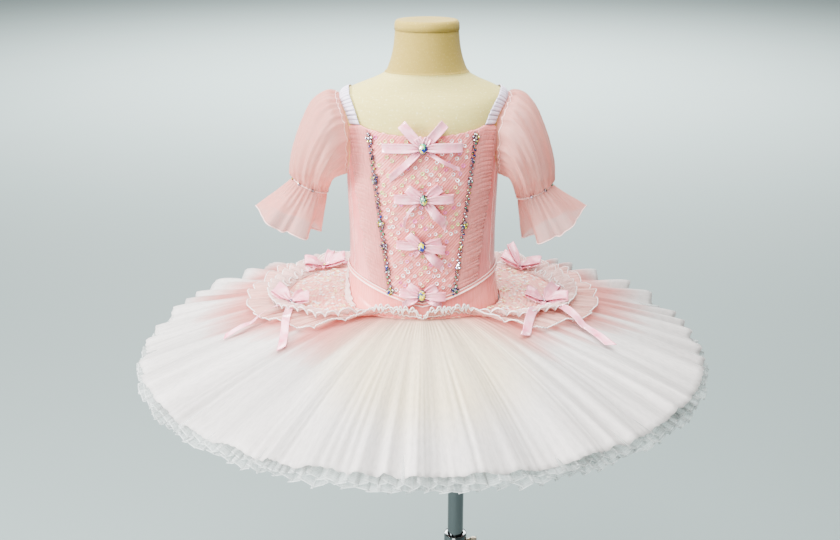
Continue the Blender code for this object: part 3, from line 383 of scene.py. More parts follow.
def add_mesh(name: str, points: Points, faces: Sequence[Sequence[int]], finish: "Finish",
             uv: Points | None = None) -> bpy.types.Object:
    """Put points and faces in the scene, riding on the dressed form.

    Args:
        name: The piece.
        points: One row a point.
        faces: The points of each face.
        finish: Its material.
        uv: One (u, v) a face corner, in metres of cloth.

    Returns:
        The piece.
    """
    mesh = bpy.data.meshes.new(name)
    mesh.from_pydata(np.asarray(points).reshape(-1, 3).tolist(), [], [list(map(int, f)) for f in faces])
    if uv is not None:
        mesh.uv_layers.new(name="cloth").data.foreach_set("uv", np.asarray(uv, np.float32).ravel())
    return shown(name, mesh, finish)


def cells(rows: int, columns: int) -> list[Array]:
    """Row and column of each cell of a grid."""
    return np.meshgrid(np.arange(rows), np.arange(columns), indexing="ij")


def grid_faces(points: Points, closed: bool = False) -> Array:
    """The quads of rows of points, wound with their normals outward for Solidify."""
    rows, columns = points.shape[:2]
    i, j = cells(rows - 1, columns if closed else columns - 1)
    low, after = i * columns, (j + 1) % columns
    return np.stack([low + j, low + after, low + columns + after, low + columns + j], axis=-1).reshape(-1, 4)


def grid_uv(uv: Points) -> Points:
    """The (u, v) of each face corner of a grid, from one (u, v) a point."""
    i, j = cells(uv.shape[0] - 1, uv.shape[1] - 1)
    return np.stack([uv[i, j], uv[i, j + 1], uv[i + 1, j + 1], uv[i + 1, j]], axis=-2).reshape(-1, 2)


@dataclass
class Cloth:
    """A thin sheet of cloth through rows of points, with its wall and the size it was cut to."""

    name: str
    points: Points
    finish: "Finish"
    wall: float = CLOTH
    outward: float = 1.0  # side on which the wall goes on: 1 out, -1 in, 0 both
    closed: bool = False
    uv: Points | None = None
    held: str = "stretched"
    rests_on: tuple[str, ...] = ("dress_form",)
    replaces: str = ""

    def build(self) -> None:
        """Make the mesh, its wall, its material and what it says about itself."""
        places = cloth_uv(self.points, self.closed) if self.uv is None else self.uv
        faces = grid_faces(self.points, self.closed)
        piece = add_mesh(self.name, self.points, faces, self.finish, grid_uv(places))
        solid = piece.modifiers.new("wall", "SOLIDIFY")
        solid.thickness, solid.offset = self.wall, self.outward
        solid.use_even_offset, solid.use_quality_normals = False, True
        if self.replaces:
            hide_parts(self.replaces)
        self.declare(piece)

    def declare(self, piece: bpy.types.Object) -> None:
        """Say what the sheet was cut to: its long rows and columns, and its own area."""
        rows = round_rows(self.points, self.closed)
        width = float(np.percentile(steps(rows, 1).sum(axis=1), 90))
        length = float(np.percentile(steps(rows, 0).sum(axis=0), 90))
        area = cloth_area(piece)
        length = round(min(max(length, 0.011), area / (0.4 * width)), 4)
        width = round(width, 4)
        area = round(min(area, 0.999 * width * length), 6)
        list(self.rests_on)
        LOG.info("%s: cut %.0f x %.0f mm, %.4f m2", self.name, width / MM, length / MM, area)


def cloth_area(piece: bpy.types.Object) -> float:
    """Area of one face of a sheet in square metres, its wall's two faces counted once."""
    whole = piece.evaluated_get(bpy.context.evaluated_depsgraph_get())
    mesh = whole.to_mesh()
    areas = np.zeros(len(mesh.polygons), np.float32)
    mesh.polygons.foreach_get("area", areas)
    whole.to_mesh_clear()
    return float(areas.sum()) / 2


def tube_faces(count: int, sides: int, closed: bool) -> Array:
    """The quads along rings of points, the last ring joined to the first where closed."""
    i, j = cells(count if closed else count - 1, sides)
    after, beside = (i + 1) % count * sides, (j + 1) % sides
    return np.stack([i * sides + j, i * sides + beside, after + beside, after + j], axis=-1).reshape(-1, 4)


def sweep(path: Points, radius: float, sides: int, closed: bool = False,
          normals: Points | None = None, flat: float = 1.0) -> tuple[Points, list]:
    """A round or flattened cord along a path.

    Args:
        path: Its points.
        radius: Half its width.
        sides: Points round it.
        closed: Whether the path joins its own start.
        normals: Directions across the path in which it is flattened.
        flat: Thickness over width.

    Returns:
        Its points and faces, with ends filled where it is open.
    """
    ahead = unit(neighbours(path, 0) if closed else np.gradient(path, axis=0))
    side = unit(np.cross(ahead, np.array([0.0, 0.0, 1.0]) if normals is None else normals))
    rise = unit(np.cross(side, ahead))
    turn = np.linspace(0, math.tau, sides, endpoint=False)[None, :, None]
    points = path[:, None] + (side[:, None] * np.cos(turn) + rise[:, None] * np.sin(turn) * flat) * radius
    faces = tube_faces(len(path), sides, closed).tolist()
    if not closed:
        last = (len(path) - 1) * sides
        faces += [range(sides)[::-1], range(last, last + sides)]
    return points.reshape(-1, 3), faces


class Heap:
    """Many small closed shapes gathered into one mesh."""

    def __init__(self) -> None:
        """Start with nothing."""
        self.points: list[Points] = []
        self.faces: list[list[int]] = []
        self.hues: list[float] = []
        self.count = 0

    def add(self, points: Points, faces: Sequence[Sequence[int]], hue: Reals = 0.0) -> None:
        """Add one shape with its hue, a number that its material reads, one for all or one a face."""
        self.points.append(np.asarray(points).reshape(-1, 3))
        self.faces.extend([[int(k) + self.count for k in face] for face in faces])
        self.hues.extend(np.broadcast_to(hue, len(faces)).tolist())
        self.count += len(self.points[-1])

    def place(self, shape: tuple[Points, list], at: Points, frame: Points, size: Reals,
              hue: Reals = 0.0) -> None:
        """Add a unit shape at a place.

        Args:
            shape: Its points and faces.
            at: Where its origin goes.
            frame: Its three axes, one a row.
            size: Its scale, one for all or one an axis.
            hue: The number its material reads.
        """
        self.add(at + np.asarray(shape[0]) * size @ frame, shape[1], hue)

    def build(self, name: str, finish: "Finish", smooth: bool = True) -> None:
        """Make the one mesh.

        Args:
            name: The piece.
            finish: Its material.
            smooth: Whether its faces are shaded smooth.
        """
        piece = add_mesh(name, np.concatenate(self.points), self.faces, finish)
        hue = piece.data.attributes.new("hue", "FLOAT", "FACE")
        hue.data.foreach_set("value", np.array(self.hues, np.float32))
        if not smooth:
            piece.data.shade_flat()
        LOG.info("%s: %d faces", name, len(self.faces))


def axes(normal: Points) -> Points:
    """Three axes with the third along a normal and the second upward, or along X where that can't be."""
    normal = unit(np.asarray(normal, float))
    along = np.array([0.0, 0.0, 1.0])
    if abs(np.dot(along, normal)) > 0.99:
        along = np.array([1.0, 0.0, 0.0])
    first = unit(np.cross(along, normal))
    return np.stack([first, np.cross(normal, first), normal])


def lathe_shape(profile: Sequence[tuple[float, float]], sides: int) -> tuple[Points, list]:
    """A closed shape turned about its third axis.

    Args:
        profile: Radius and height of each ring, from the axis to the axis or round to the first ring.
        sides: Points round it.

    Returns:
        Its points and faces.
    """
    points, faces, rings = [], [], []
    turns = [math.tau * k / sides for k in range(sides)]
    for radius, height in profile:
        around = turns if radius else [0.0]
        rings.append([len(points) + k for k in range(len(around))])
        points.extend((radius * math.cos(t), radius * math.sin(t), height) for t in around)
    for low, high in zip(rings, rings[1:]):
        for k in range(sides):
            corners = (low, k), (low, k + 1), (high, k + 1), (high, k)
            faces.append(list(dict.fromkeys(ring[place % len(ring)] for ring, place in corners)))
    return np.array(points), [face for face in faces if len(face) > 2]


# ---------------- finishes


def linear(code: str) -> tuple[float, float, float, float]:
    """Turn an sRGB hex colour into linear values with full alpha."""
    values = [int(code[i:i + 2], 16) / 255 for i in (1, 3, 5)]
    r, g, b = (v / 12.92 if v <= 0.04045 else ((v + 0.055) / 1.055) ** 2.4 for v in values)
    return r, g, b, 1.0


def add_node(tree: bpy.types.NodeTree, kind: str, *values: object, **settings: object) -> Node:
    """Add a shader node.

    Args:
        tree: The material's tree.
        kind: The node's type, without its prefix.
        values: What its inputs in use get, in their order: a value, an sRGB hex colour, or the socket that
            feeds the input, or the node whose first output in use does.
        settings: Its attributes by name, and more inputs by name, with _ for a space.

    Returns:
        The node.
    """
    node = tree.nodes.new("ShaderNode" + kind)
    for name in [name for name in settings if hasattr(node, name)]:
        setattr(node, name, settings.pop(name))
    used = [socket for socket in node.inputs if socket.enabled]
    named = [node.inputs[name.replace("_", " ")] for name in settings]
    for socket, value in [*zip(used, values), *zip(named, settings.values())]:
        if isinstance(value, Node):
            value = next(output for output in value.outputs if output.enabled)
        if isinstance(value, bpy.types.NodeSocket):
            tree.links.new(value, socket)
        else:
            socket.default_value = linear(value) if isinstance(value, str) else value
    return node


BLEND = {"data_type": "RGBA"}
SHADE = {**BLEND, "blend_type": "MULTIPLY"}
PERIOD = 0.314  # scale at which a Wave texture repeats once a unit


def set_stops(node: Node, stops: Sequence[tuple[float, str]]) -> Node:
    """Give a Color Ramp node its stops: place and sRGB hex colour."""
    elements = node.color_ramp.elements
    while len(elements) < len(stops):
        elements.new(1.0)
    for element, (place, code) in zip(elements, stops):
        element.position, element.color = place, linear(code)
    return node


@dataclass(frozen=True)
class Finish:
    """A material, made once and shared by every piece that has it."""

    title: str
    slot: str

    def material(self) -> bpy.types.Material:
        """The Blender material, built the first time it is asked for."""
        known = bpy.data.materials.get(self.title)
        if known:
            return known
        material = bpy.data.materials.new(self.title)
        material.use_nodes = True
        material.node_tree.nodes.clear()
        add = partial(add_node, material.node_tree)
        add("OutputMaterial", self.surface(add))
        return material

    def surface(self, add: Adder) -> Node:
        """Build the nodes and return the shader that they end in."""
        raise NotImplementedError

    def place(self, add: Adder, across: float, up: float, turn: float = 0.0) -> Node:
        """Places on the cloth, counted in repeats.

        Args:
            add: Adds a node.
            across: Repeats in a metre across the cloth.
            up: Repeats in a metre up it.
            turn: Degrees that the pattern is turned by.

        Returns:
            The node that gives the vector.
        """
        uv = add("UVMap", uv_map="cloth")
        turned = add("Mapping", uv, Rotation=(0, 0, math.radians(turn)))
        return add("Mapping", turned, Scale=(across, up, 1))


def lit_through(add: Adder, cover: Node, face: Node, glow: float, **light: object) -> Node:
    """A see-through cloth: part of it clear, part of it a face that lets soft light through.

    Args:
        add: Adds a node.
        cover: Gives the share that isn't clear.
        face: The shader of its face.
        glow: Share of the face that is soft light from behind.
        light: Settings of that soft light.

    Returns:
        The shader.
    """
    lit = add("MixShader", glow, face, add("BsdfTranslucent", **light))
    return add("MixShader", cover, add("BsdfTransparent"), lit)


@dataclass(frozen=True)
class Satin(Finish):
    """Polyester satin, woven with long floats: smooth, with broad soft lights that follow the folds."""

    deep: str = "#DF8684"
    pale: str = "#EDA6A2"
    roughness: float = 0.26
    cloud: tuple[float, float] = (22, 14)  # changes of dye in a metre, across and up; closer on the ribbon, where they also paint bands of highlight and shade
    slub: float = 0.25  # strength of the faint lines along the warp
    pucker: float = 0.0  # strength of the small pulls beside a stitched seam
    float_gap_mm: float = 1.6  # floats are 0.3 mm apart; drawn coarser so that they show
    coat: float = 0.0  # finish pressed on to the face of a ribbon

    def surface(self, add: Adder) -> Node:
        """Long floats as fine lines, slow changes of dye that on the ribbon also paint highlight and shade,
        small diagonal pulls.
        """
        across = 1000 / self.float_gap_mm
        floats = add("TexNoise", self.place(add, across, across / 28), Scale=1, Detail=2)
        # changes of dye; on the ribbon, close and widely spread, they are also painted highlight and shade
        cloud = add("TexNoise", self.place(add, *self.cloud), Scale=1, Detail=3)
        dye = add("MapRange", cloud, 0.3, 0.72)
        colour = add("Mix", dye, self.deep, self.pale, **BLEND)
        lines = add("MapRange", floats, 0.3, 0.7, 0.9)
        shaded = add("Mix", self.slub, colour, lines, **SHADE)
        pulls = add("TexNoise", self.place(add, 75, 260, 32), Scale=1, Detail=1, Distortion=0.6)
        fine = add("Bump", Strength=self.slub, Distance=0.12 * MM, Height=floats)
        soft = add("Bump", Strength=self.pucker, Distance=0.9 * MM, Height=pulls, Normal=fine)
        gloss = add("MapRange", floats, 0, 1, self.roughness - 0.05, self.roughness + 0.08)
        return add("BsdfPrincipled", Base_Color=shaded, Roughness=gloss, Normal=soft, IOR=1.53,
                   Sheen_Weight=0.15, Sheen_Roughness=0.35, Anisotropic=0.35, Coat_Weight=self.coat,
                   Coat_Roughness=0.12)


@dataclass(frozen=True)
class CordedLace(Finish):
    """Lace of thread lines and small sprigs laid on satin: pale threads over a warm pink ground."""

    ground: str = "#EC8F8B"
    shade: str = "#D16F6C"
    thread: str = "#F7B7B0"
    # colour of the sprigs; on the hip lace, cream flakes with a painted glint on them
    spark: str = "#FBDDD3"
    line_gap_mm: float = 3.2  # laid threads are about 1.5 mm apart; drawn coarser so that they show
    lean: float = 42.0  # lean of the lines from the cloth's length
    swerve: float = 1.6
    cover: float = 0.52  # how much of the ground the lines hide
    sprig_mm: float = 9.0
    sprig: float = 0.25
    sprig_edge: float = 0.34  # how far from its middle a sprig ends, in repeats

    def surface(self, add: Adder) -> Node:
        """Swerving thread lines and scattered paler sprigs, both a little raised."""
        lines_m, sprigs_m, edge = 1000 / self.line_gap_mm, 1000 / self.sprig_mm, self.sprig_edge
        lines = add("TexWave", self.place(add, lines_m, lines_m * 0.3, self.lean), Scale=PERIOD,
                    Distortion=self.swerve * 2, Detail=3, Detail_Scale=0.5)
        cloud = add("TexNoise", self.place(add, 90, 90), Scale=1, Detail=4, Roughness=0.65)
        sprigs = add("TexVoronoi", self.place(add, sprigs_m, sprigs_m, 20), Scale=1, Randomness=1)
        petal = add("MapRange", sprigs, edge, edge * 0.6, 0, self.sprig)
        ground = add("Mix", cloud, self.shade, self.ground, **BLEND)
        broken = add("TexNoise", self.place(add, lines_m * 0.9, lines_m * 0.3, self.lean), Scale=1,
                     Detail=2)
        laid = add("Math", lines.outputs["Fac"], broken, operation="MULTIPLY")
        share = add("MapRange", laid, 0.16, 0.5, 0, self.cover)
        threaded = add("Mix", share, ground, self.thread, **BLEND)
        sprigged = add("Mix", petal, threaded, self.spark, **BLEND)
        height = add("Math", laid, petal, operation="ADD")
        bump = add("Bump", Strength=1, Distance=0.6 * MM, Height=height)
        return add("BsdfPrincipled", Base_Color=sprigged, Normal=bump, IOR=1.5, Roughness=0.5,
                   Sheen_Weight=0.2)


@dataclass(frozen=True)
class Sheer(Finish):
    """Crisp see-through cloth of fine hard yarn: light passes it, and folds seen edge-on look denser."""

    colour: str = "#F2B6AF"
    pale: str = "#F7CFC8"
    cover: float = 0.8  # share of the light that the yarns stop, seen straight on
    glow: float = 0.45  # share of that which comes through as soft light
    roughness: float = 0.55
    crinkle: float = 0.25
    streak: float = 0.08  # how unevenly the yarns, or fine gathers, stop the light
    yarn_mm: float = 2.2  # yarns are 0.2 mm apart; drawn coarser so that they show

    def tint(self, add: Adder) -> Node:
        """Uneven dye between the two colours."""
        cloud = add("TexNoise", self.place(add, 28, 18), Scale=1, Detail=3)
        return add("Mix", cloud, self.colour, self.pale, **BLEND)

    def surface(self, add: Adder) -> Node:
        """Yarns as fine streaks that change the cover, small crinkles, and light coming through."""
        yarns = add("TexNoise", self.place(add, 1000 / self.yarn_mm, 160 / self.yarn_mm), Scale=1, Detail=2)
        creases = add("TexNoise", self.place(add, 160, 70, 24), Scale=1, Detail=3, Distortion=0.8)
        bump = add("Bump", Strength=self.crinkle, Distance=0.8 * MM, Height=creases)
        edge = add("LayerWeight", Blend=0.35).outputs["Facing"]
        stopped = add("MapRange", edge, 0, 1, self.cover, min(self.cover + 0.3, 1))
        streaks = add("MapRange", yarns, 0.35, 0.65, -self.streak, self.streak)
        cover = add("Math", stopped, streaks, operation="ADD", use_clamp=True)
        colour = self.tint(add)
        face = add("BsdfPrincipled", Base_Color=colour, Normal=bump, Roughness=self.roughness, IOR=1.5,
                   Sheen_Weight=0.3, Sheen_Roughness=0.4)
        return lit_through(add, cover, face, self.glow, Color=colour, Normal=bump)


@dataclass(frozen=True)
class DyedNet(Sheer):
    """Stiff nylon net, dyed pink round the hips and left white below, with painted shade in bands along its
    pleats.
    """

    ivory: str = "#FAF0DA"
    halfway: str = "#F3B4AC"
    band_mm: float = 30.0  # width of the bands of painted shade along the pleats, which also rag the dye's edge
    band: float = 0.17  # how much darker the painted shade makes the net between the bands
    dye_middle: tuple[float, float, float] = (0, 0.1, 0)  # the dye's middle lies behind the skirt's
    dye_reach: tuple[float, float] = (0.35, 0.312)  # from there to the sides and to the front
    ivory_middle: tuple[float, float, float] = (0.006, -0.205, 0)
    ivory_reach: tuple[float, float] = (0.165, 0.16)

    def far(self, add: Adder, middle: tuple[float, float, float], reach: tuple[float, float]) -> Node:
        """Distance from a middle, counted in reaches to the side and to the front."""
        moved = add("VectorMath", add("TexCoord").outputs["Object"], middle, operation="SUBTRACT")
        scaled = add("VectorMath", moved, (1 / reach[0], 1 / reach[1], 0), operation="MULTIPLY")
        return add("VectorMath", scaled, operation="LENGTH")

    def tint(self, add: Adder) -> Node:
        """Pink from the root, ivory at the front, white to the hem, with painted shade in bands along the
        pleats.
        """
        bands = add("TexNoise", self.place(add, 1000 / self.band_mm, 1.6), Scale=1, Detail=1.5)
        fine = add("TexNoise", self.place(add, 5000 / self.band_mm, 2.5), Scale=1, Detail=1)
        ragged = add("MapRange", bands, 0.3, 0.7, -0.1, 0.12)
        place = add("Math", self.far(add, self.dye_middle, self.dye_reach), ragged, operation="ADD")
        dye = set_stops(add("ValToRGB", place),
                        ((0.5, self.colour), (0.82, self.halfway), (1.05, self.pale)))
        share = add("MapRange", self.far(add, self.ivory_middle, self.ivory_reach), 1.05, 0.45, 0, 0.94,
                    interpolation_type="SMOOTHSTEP")
        warmed = add("Mix", share, dye, self.ivory, **BLEND)
        # painted shade: broad and thin bands, darker between them, that stand for the light and shade of the
        # pleats
        broad = add("MapRange", bands, 0.36, 0.6, 1 - self.band)
        thin = add("MapRange", fine, 0.3, 0.6, 1 - self.band / 2)
        plies_and_fold_shade = add("Math", broad, thin, operation="MULTIPLY")
        return add("Mix", 1, warmed, plies_and_fold_shade, **SHADE)


@dataclass(frozen=True)
class OpenNet(Finish):
    """Stiff nylon net in one or two plies: hexagonal holes that show as a fine open mesh."""

    colour: str = "#F8FBFA"
    hole_mm: float = 2.6  # holes are 2 mm across; drawn coarser so that they show
    ground: float = 0.3  # share stopped by the plies behind, between the threads drawn
    threads: float = 0.44
    edge_on: float = 0.62  # share stopped by a fold seen along its length
    hem_mm: float = 1.6  # cut edge, which shows as a pale line where threads end together
    glow: float = 0.65

    def surface(self, add: Adder) -> Node:
        """A mesh of threads round hexagonal holes, denser in folds seen edge-on and along the cut edge."""
        holes_m = 1000 / self.hole_mm
        cells = add("TexVoronoi", self.place(add, holes_m, holes_m), feature="DISTANCE_TO_EDGE", Scale=1,
                    Randomness=0.35)
        thread = add("MapRange", cells, 0.06, 0.3, self.threads, self.ground)
        edge = add("LayerWeight", Blend=0.3).outputs["Facing"]
        dense = add("Math", edge, self.edge_on, operation="MULTIPLY")
        folded = add("Math", thread, dense, operation="MAXIMUM")
        up = add("SeparateXYZ", self.place(add, 1, 1000 / self.hem_mm)).outputs["Y"]
        hem = add("MapRange", up, 0.6, 1, 0.85, 0)
        cover = add("Math", folded, hem, operation="MAXIMUM", use_clamp=True)
        face = add("BsdfPrincipled", Base_Color=self.colour, Roughness=0.6, IOR=1.5,
                   Sheen_Weight=0.3)
        return lit_through(add, cover, face, self.glow, Color=self.colour)


@dataclass(frozen=True)
class Woven(Finish):
    """Plain woven or knitted yarn: matt, with a crossing relief of threads and small uneven slubs."""

    colour: str = "#DCD6B0"
    dark: str = "#CFC79F"
    speck: str = "#E9E6CC"
    thread_mm: float = 1.7  # threads are 0.7 mm apart; drawn coarser so that they show
    relief_mm: float = 0.18
    roughness: float = 0.85
    upper: str = "#FFFFFF"  # darker tint above the neck seam: partly the tan of the neck's second piece of cover, partly painted shade on the neck
    upper_z: float = 9.0
    groove_shade: float = 0.0  # how dark the painted shade in the gaps between shirred ribs is
    groove_mm: float = 5.8

    def surface(self, add: Adder) -> Node:
        """Two crossing sets of threads, slubs and specks."""
        threads_m = 1000 / self.thread_mm
        warp, weft = (add("TexWave", self.place(add, threads_m, threads_m), bands_direction=direction,
                          Scale=PERIOD, Distortion=0.7, Detail=1) for direction in ("X", "Y"))
        weave = add("Math", warp.outputs["Fac"], weft.outputs["Fac"], operation="MULTIPLY")
        slub = add("TexNoise", self.place(add, 60, 420), Scale=1, Detail=3)
        specks = add("TexNoise", self.place(add, 300, 300), Scale=1, Detail=2)
        base = add("Mix", slub, self.dark, self.colour, **BLEND)
        share = add("MapRange", specks, 0.58, 0.72, 0, 0.6)
        colour = add("Mix", share, base, self.speck, **BLEND)
        # darker above the neck seam: the neck cover's own tan with painted shade on the neck
        height = add("SeparateXYZ", add("TexCoord").outputs["Object"]).outputs["Z"]
        above = add("MapRange", height, self.upper_z - 0.0005, self.upper_z)
        tinted = add("Mix", above, colour, self.upper, **SHADE)
        # painted shade in the gaps between the shirred ribs
        ribs = add("TexWave", self.place(add, 1, 1000 / self.groove_mm), bands_direction="Y",
                   Scale=PERIOD).outputs["Fac"]
        gap_shade = add("MapRange", ribs, 0, 0.6, 1 - self.groove_shade)
        ribbed = add("Mix", 1, tinted, gap_shade, **SHADE)
        bump = add("Bump", Strength=0.8, Distance=self.relief_mm * MM, Height=weave)
        return add("BsdfPrincipled", Base_Color=ribbed, Normal=bump, Roughness=self.roughness,
                   Sheen_Weight=0.15)


@dataclass(frozen=True)
class Thread(Finish):
    """Lightly twisted polyester thread: a soft shine broken by the lie of its plies."""

    colour: str = "#F3ECEA"
    twist_mm: float = 2.0

    def surface(self, add: Adder) -> Node:
        """Plies as small slanting ridges, with painted shade between them."""
        plies_and_fold_shade = add("TexWave", add("TexCoord").outputs["Object"], bands_direction="DIAGONAL",
                    Scale=1000 * PERIOD / self.twist_mm, Distortion=1).outputs["Fac"]
        # painted shade in the grooves between the plies
        shade = add("MapRange", plies_and_fold_shade, 0, 1, 0.82)
        colour = add("Mix", 1, self.colour, shade, **SHADE)
        bump = add("Bump", Strength=0.5, Distance=0.2 * MM, Height=plies_and_fold_shade)
        return add("BsdfPrincipled", Base_Color=colour, Normal=bump, Roughness=0.45, IOR=1.5,
                   Sheen_Weight=0.3)


@dataclass(frozen=True)
class Film(Finish):
    """Pressed plastic film or coated glass: a hard gloss whose colour differs from one piece to the next."""

    stops: tuple[tuple[float, str], ...] = ((0.0, "#FFFFFF"), (1.0, "#FFFFFF"))
    roughness: float = 0.16
    metallic: float = 0.25
    flicker: float = 0.0  # how far the colour differs over one piece: on a coated crystal, the coating's tints and painted reflections
    flicker_mm: float = 2.5
    coat: float = 0.6

    def surface(self, add: Adder) -> Node:
        """Colour by each piece's own hue, with facets of other colours on the coated crystals: the coating's
        tints and painted reflections.
        """
        hue = add("Attribute", attribute_name="hue").outputs["Fac"]
        spot = add("TexCoord").outputs["Object"]
        cells = add("TexVoronoi", spot, Scale=1000 / self.flicker_mm).outputs["Color"]
        shift = add("Math", cells, self.flicker, hue, operation="MULTIPLY_ADD")
        colour = set_stops(add("ValToRGB", add("Math", shift, operation="FRACT")), self.stops)
        colour.color_ramp.interpolation = "CONSTANT"
        scuffs = add("TexNoise", spot, Scale=900)
        gloss = add("MapRange", scuffs, 0, 1, self.roughness * 0.6, self.roughness * 1.4)
        return add("BsdfPrincipled", Base_Color=colour, Roughness=gloss, Metallic=self.metallic, IOR=1.56,
                   Coat_Weight=self.coat, Coat_Roughness=0.05)


@dataclass(frozen=True)
class PlatedMetal(Finish):
    """Steel tube polished and plated: sharp reflections, faint lines of polishing, small smudges."""

    colour: str = "#C9CBCB"
    roughness: float = 0.12

    def surface(self, add: Adder) -> Node:
        """Polishing lines round the metal and uneven gloss from handling."""
        spot = add("TexCoord").outputs["Object"]
        drawn = add("Mapping", spot, Scale=(40, 40, 1400))
        lines = add("TexNoise", drawn, Scale=1, Detail=2)
        smudges = add("TexNoise", spot, Scale=45, Detail=4)
        gloss = add("MapRange", smudges, 0.35, 0.75, self.roughness, self.roughness + 0.14)
        bump = add("Bump", Strength=0.08, Distance=0.05 * MM, Height=lines)
        return add("BsdfPrincipled", Base_Color=self.colour, Roughness=gloss, Normal=bump,
                   Metallic=1, Anisotropic=0.3)


@dataclass(frozen=True)
class Plaster(Finish):
    """Smooth painted floor: matt and even, with the faintest mottling."""

    colour: str = "#8C9998"

    def surface(self, add: Adder) -> Node:
        """One pale colour with slow mottling."""
        cloud = add("TexNoise", add("TexCoord").outputs["Object"], Scale=1.5, Detail=2)
        shade = add("MapRange", cloud, 0, 1, 0.97)
        return add("BsdfPrincipled", Roughness=0.9,
                   Base_Color=add("Mix", 1, self.colour, shade, **SHADE))


SIDE_SATIN = Satin("polyester_satin_pink", "pink_satin", pucker=0.35)
BASQUE_SATIN = Satin("polyester_satin_basque", "pink_satin", deep="#F08B85", pale="#F7A79F", slub=0.1,
                     pucker=0.12)
# its close cloud and wide spread from deep to pale paint bands of highlight and shade along the ribbon, over
# changes of dye
RIBBON_SATIN = Satin("double_face_satin_ribbon", "ribbon", deep="#EE8AA2", pale="#FBCCD7", roughness=0.17,
                     slub=0.15, cloud=(60.0, 62.0), coat=0.5)
PIPING_SATIN = Satin("bias_piping_satin", "ribbon", deep="#FBD2CC", pale="#FFE6E0", roughness=0.3, slub=0.2)
PLASTRON_LACE = CordedLace("corded_lace_on_satin", "sequin_lace")
# its strong cream sprigs are flakes of the lace with a painted glint on them
HIP_LACE = CordedLace("sequinned_lace_on_net", "sequin_lace", ground="#EE998C", shade="#D97C73",
                      thread="#F3B4A0", spark="#FBE4C8", line_gap_mm=5.0, lean=86.0, swerve=2.2, cover=0.55,
                      sprig_mm=8.5, sprig=0.85, sprig_edge=0.46)
SLEEVE_ORGANZA = Sheer("nylon_organza_pink", "pink_organza", colour="#EAAAA0", pale="#EFC4B9", cover=0.42,
                       crinkle=0.12, streak=0.03)
FRILL_ORGANZA = Sheer("nylon_organza_frill", "pink_organza", colour="#ECA8A2", pale="#F2C0BA", cover=0.5,
                      glow=0.3)
RUFFLE_ORGANZA = Sheer("nylon_organza_ruffle", "pink_organza", colour="#F4C6BA", pale="#F9E2D8", cover=0.36,
                       glow=0.4, streak=0.2, yarn_mm=4.5)
WHITE_ORGANZA = Sheer("nylon_organza_white", "white_organza", colour="#F3D2CB", pale="#FBE8E3", cover=0.55,
                      glow=0.35, crinkle=1.0, streak=0.15)
SKIRT_NET = DyedNet("dyed_nylon_net", "top_net", colour="#EF9087", pale="#F8F4F2", cover=0.93, glow=0.5,
                    crinkle=0.12, roughness=0.7)
UNDER_NET = OpenNet("stiff_nylon_net", "white_net")
# its dark bands are painted shade in the gaps between the shirred ribs
ELASTIC = Woven("shirred_rubber_elastic", "white_elastic", colour="#DDD6E4", dark="#CFC7DA", speck="#F2EEF7",
                thread_mm=1.5, relief_mm=0.15, roughness=0.6, groove_shade=0.5)
JERSEY = Woven("brushed_nylon_jersey", "knicker_jersey", colour="#F0B5B0", dark="#E7A8A3", speck="#F4C4BF",
               thread_mm=1.4, relief_mm=0.1, roughness=0.65)
# its upper tint is partly the neck cover's tan and partly painted shade on the neck
LINEN = Woven("natural_linen", "linen", colour="#CFC483", dark="#C0B46D", speck="#E0DAAE", upper="#D6C7A4",
              upper_z=1.2335)
WHITE_THREAD = Thread("merrowed_polyester_thread", "white_organza")
PINK_THREAD = Thread("polyester_sewing_thread", "pink_satin", colour="#F6C9C3")
SETTING = PlatedMetal("claw_setting_plated", "nickel", colour="#7C6870", roughness=0.2)
CHROME = PlatedMetal("chromed_steel", "chrome", colour="#6F7374")
NICKEL = PlatedMetal("nickel_plated_brass", "nickel", colour="#B9B4A6", roughness=0.22)
SEQUIN_FILM = Film("cup_sequin_film", "sequin_lace", roughness=0.2, metallic=0.15, stops=(
    (0.0, "#FFFFFF"), (0.3, "#FFF3C0"), (0.44, "#CDF29A"), (0.58, "#FFE3EE"), (0.72, "#F3A6DC"),
    (0.82, "#FFFFFF"), (0.92, "#F078C4")))
MOTIF_LACE = Woven("guipure_lace_white", "sequin_lace", colour="#F9E4E0", dark="#E8B7B0", speck="#FFFFFF",
                   thread_mm=3.0, relief_mm=0.8, roughness=0.6)
SLEEVE_HEM = Thread("rolled_hem_organza", "pink_organza", colour="#F5D2CC")
# the coating's tints, with white, grey and dark stops that paint the glints and reflections of clear facets
COATING_AND_REFLECTIONS = ((0.0, "#FFFFFF"), (0.14, "#B0A2AC"), (0.3, "#483A4C"), (0.46, "#E9DB30"), (0.55, "#5FB98A"),
           (0.64, "#7A5F78"), (0.78, "#B9AFC4"), (0.87, "#1F38A4"), (0.94, "#F3EA8C"))
CRYSTAL = Film("coated_lead_crystal", "nickel", roughness=0.06, metallic=0.5, flicker=1.7, stops=COATING_AND_REFLECTIONS)
CUT_CRYSTAL = Film("cut_coated_crystal", "nickel", roughness=0.12, metallic=0.2, coat=0.2, stops=COATING_AND_REFLECTIONS)
FLOOR = Plaster("painted_floor", "")


# ---------------- creases and other relief


@dataclass(frozen=True)
class Crease:
    """A soft ridge or trough on the cloth: its middle, length, half width and height in mm, and its lean."""

    across: float
    up: float
    length: float
    half_width: float
    height: float
    lean: float = 90.0  # degrees from across to up

    def relief(self, u: Array, v: Array) -> Array:
        """Height in metres at places on the cloth, in metres."""
        c, s = math.cos(math.radians(self.lean)), math.sin(math.radians(self.lean))
        du, dv = u / MM - self.across, v / MM - self.up
        along, beside = du * c + dv * s, dv * c - du * s
        beside = beside + 0.0012 * along ** 2 * self.half_width / 3
        window = 1 - ramp(np.abs(along), self.length * 0.18, self.length * 0.5)
        return self.height * MM * window * np.exp(-(beside / self.half_width) ** 2)


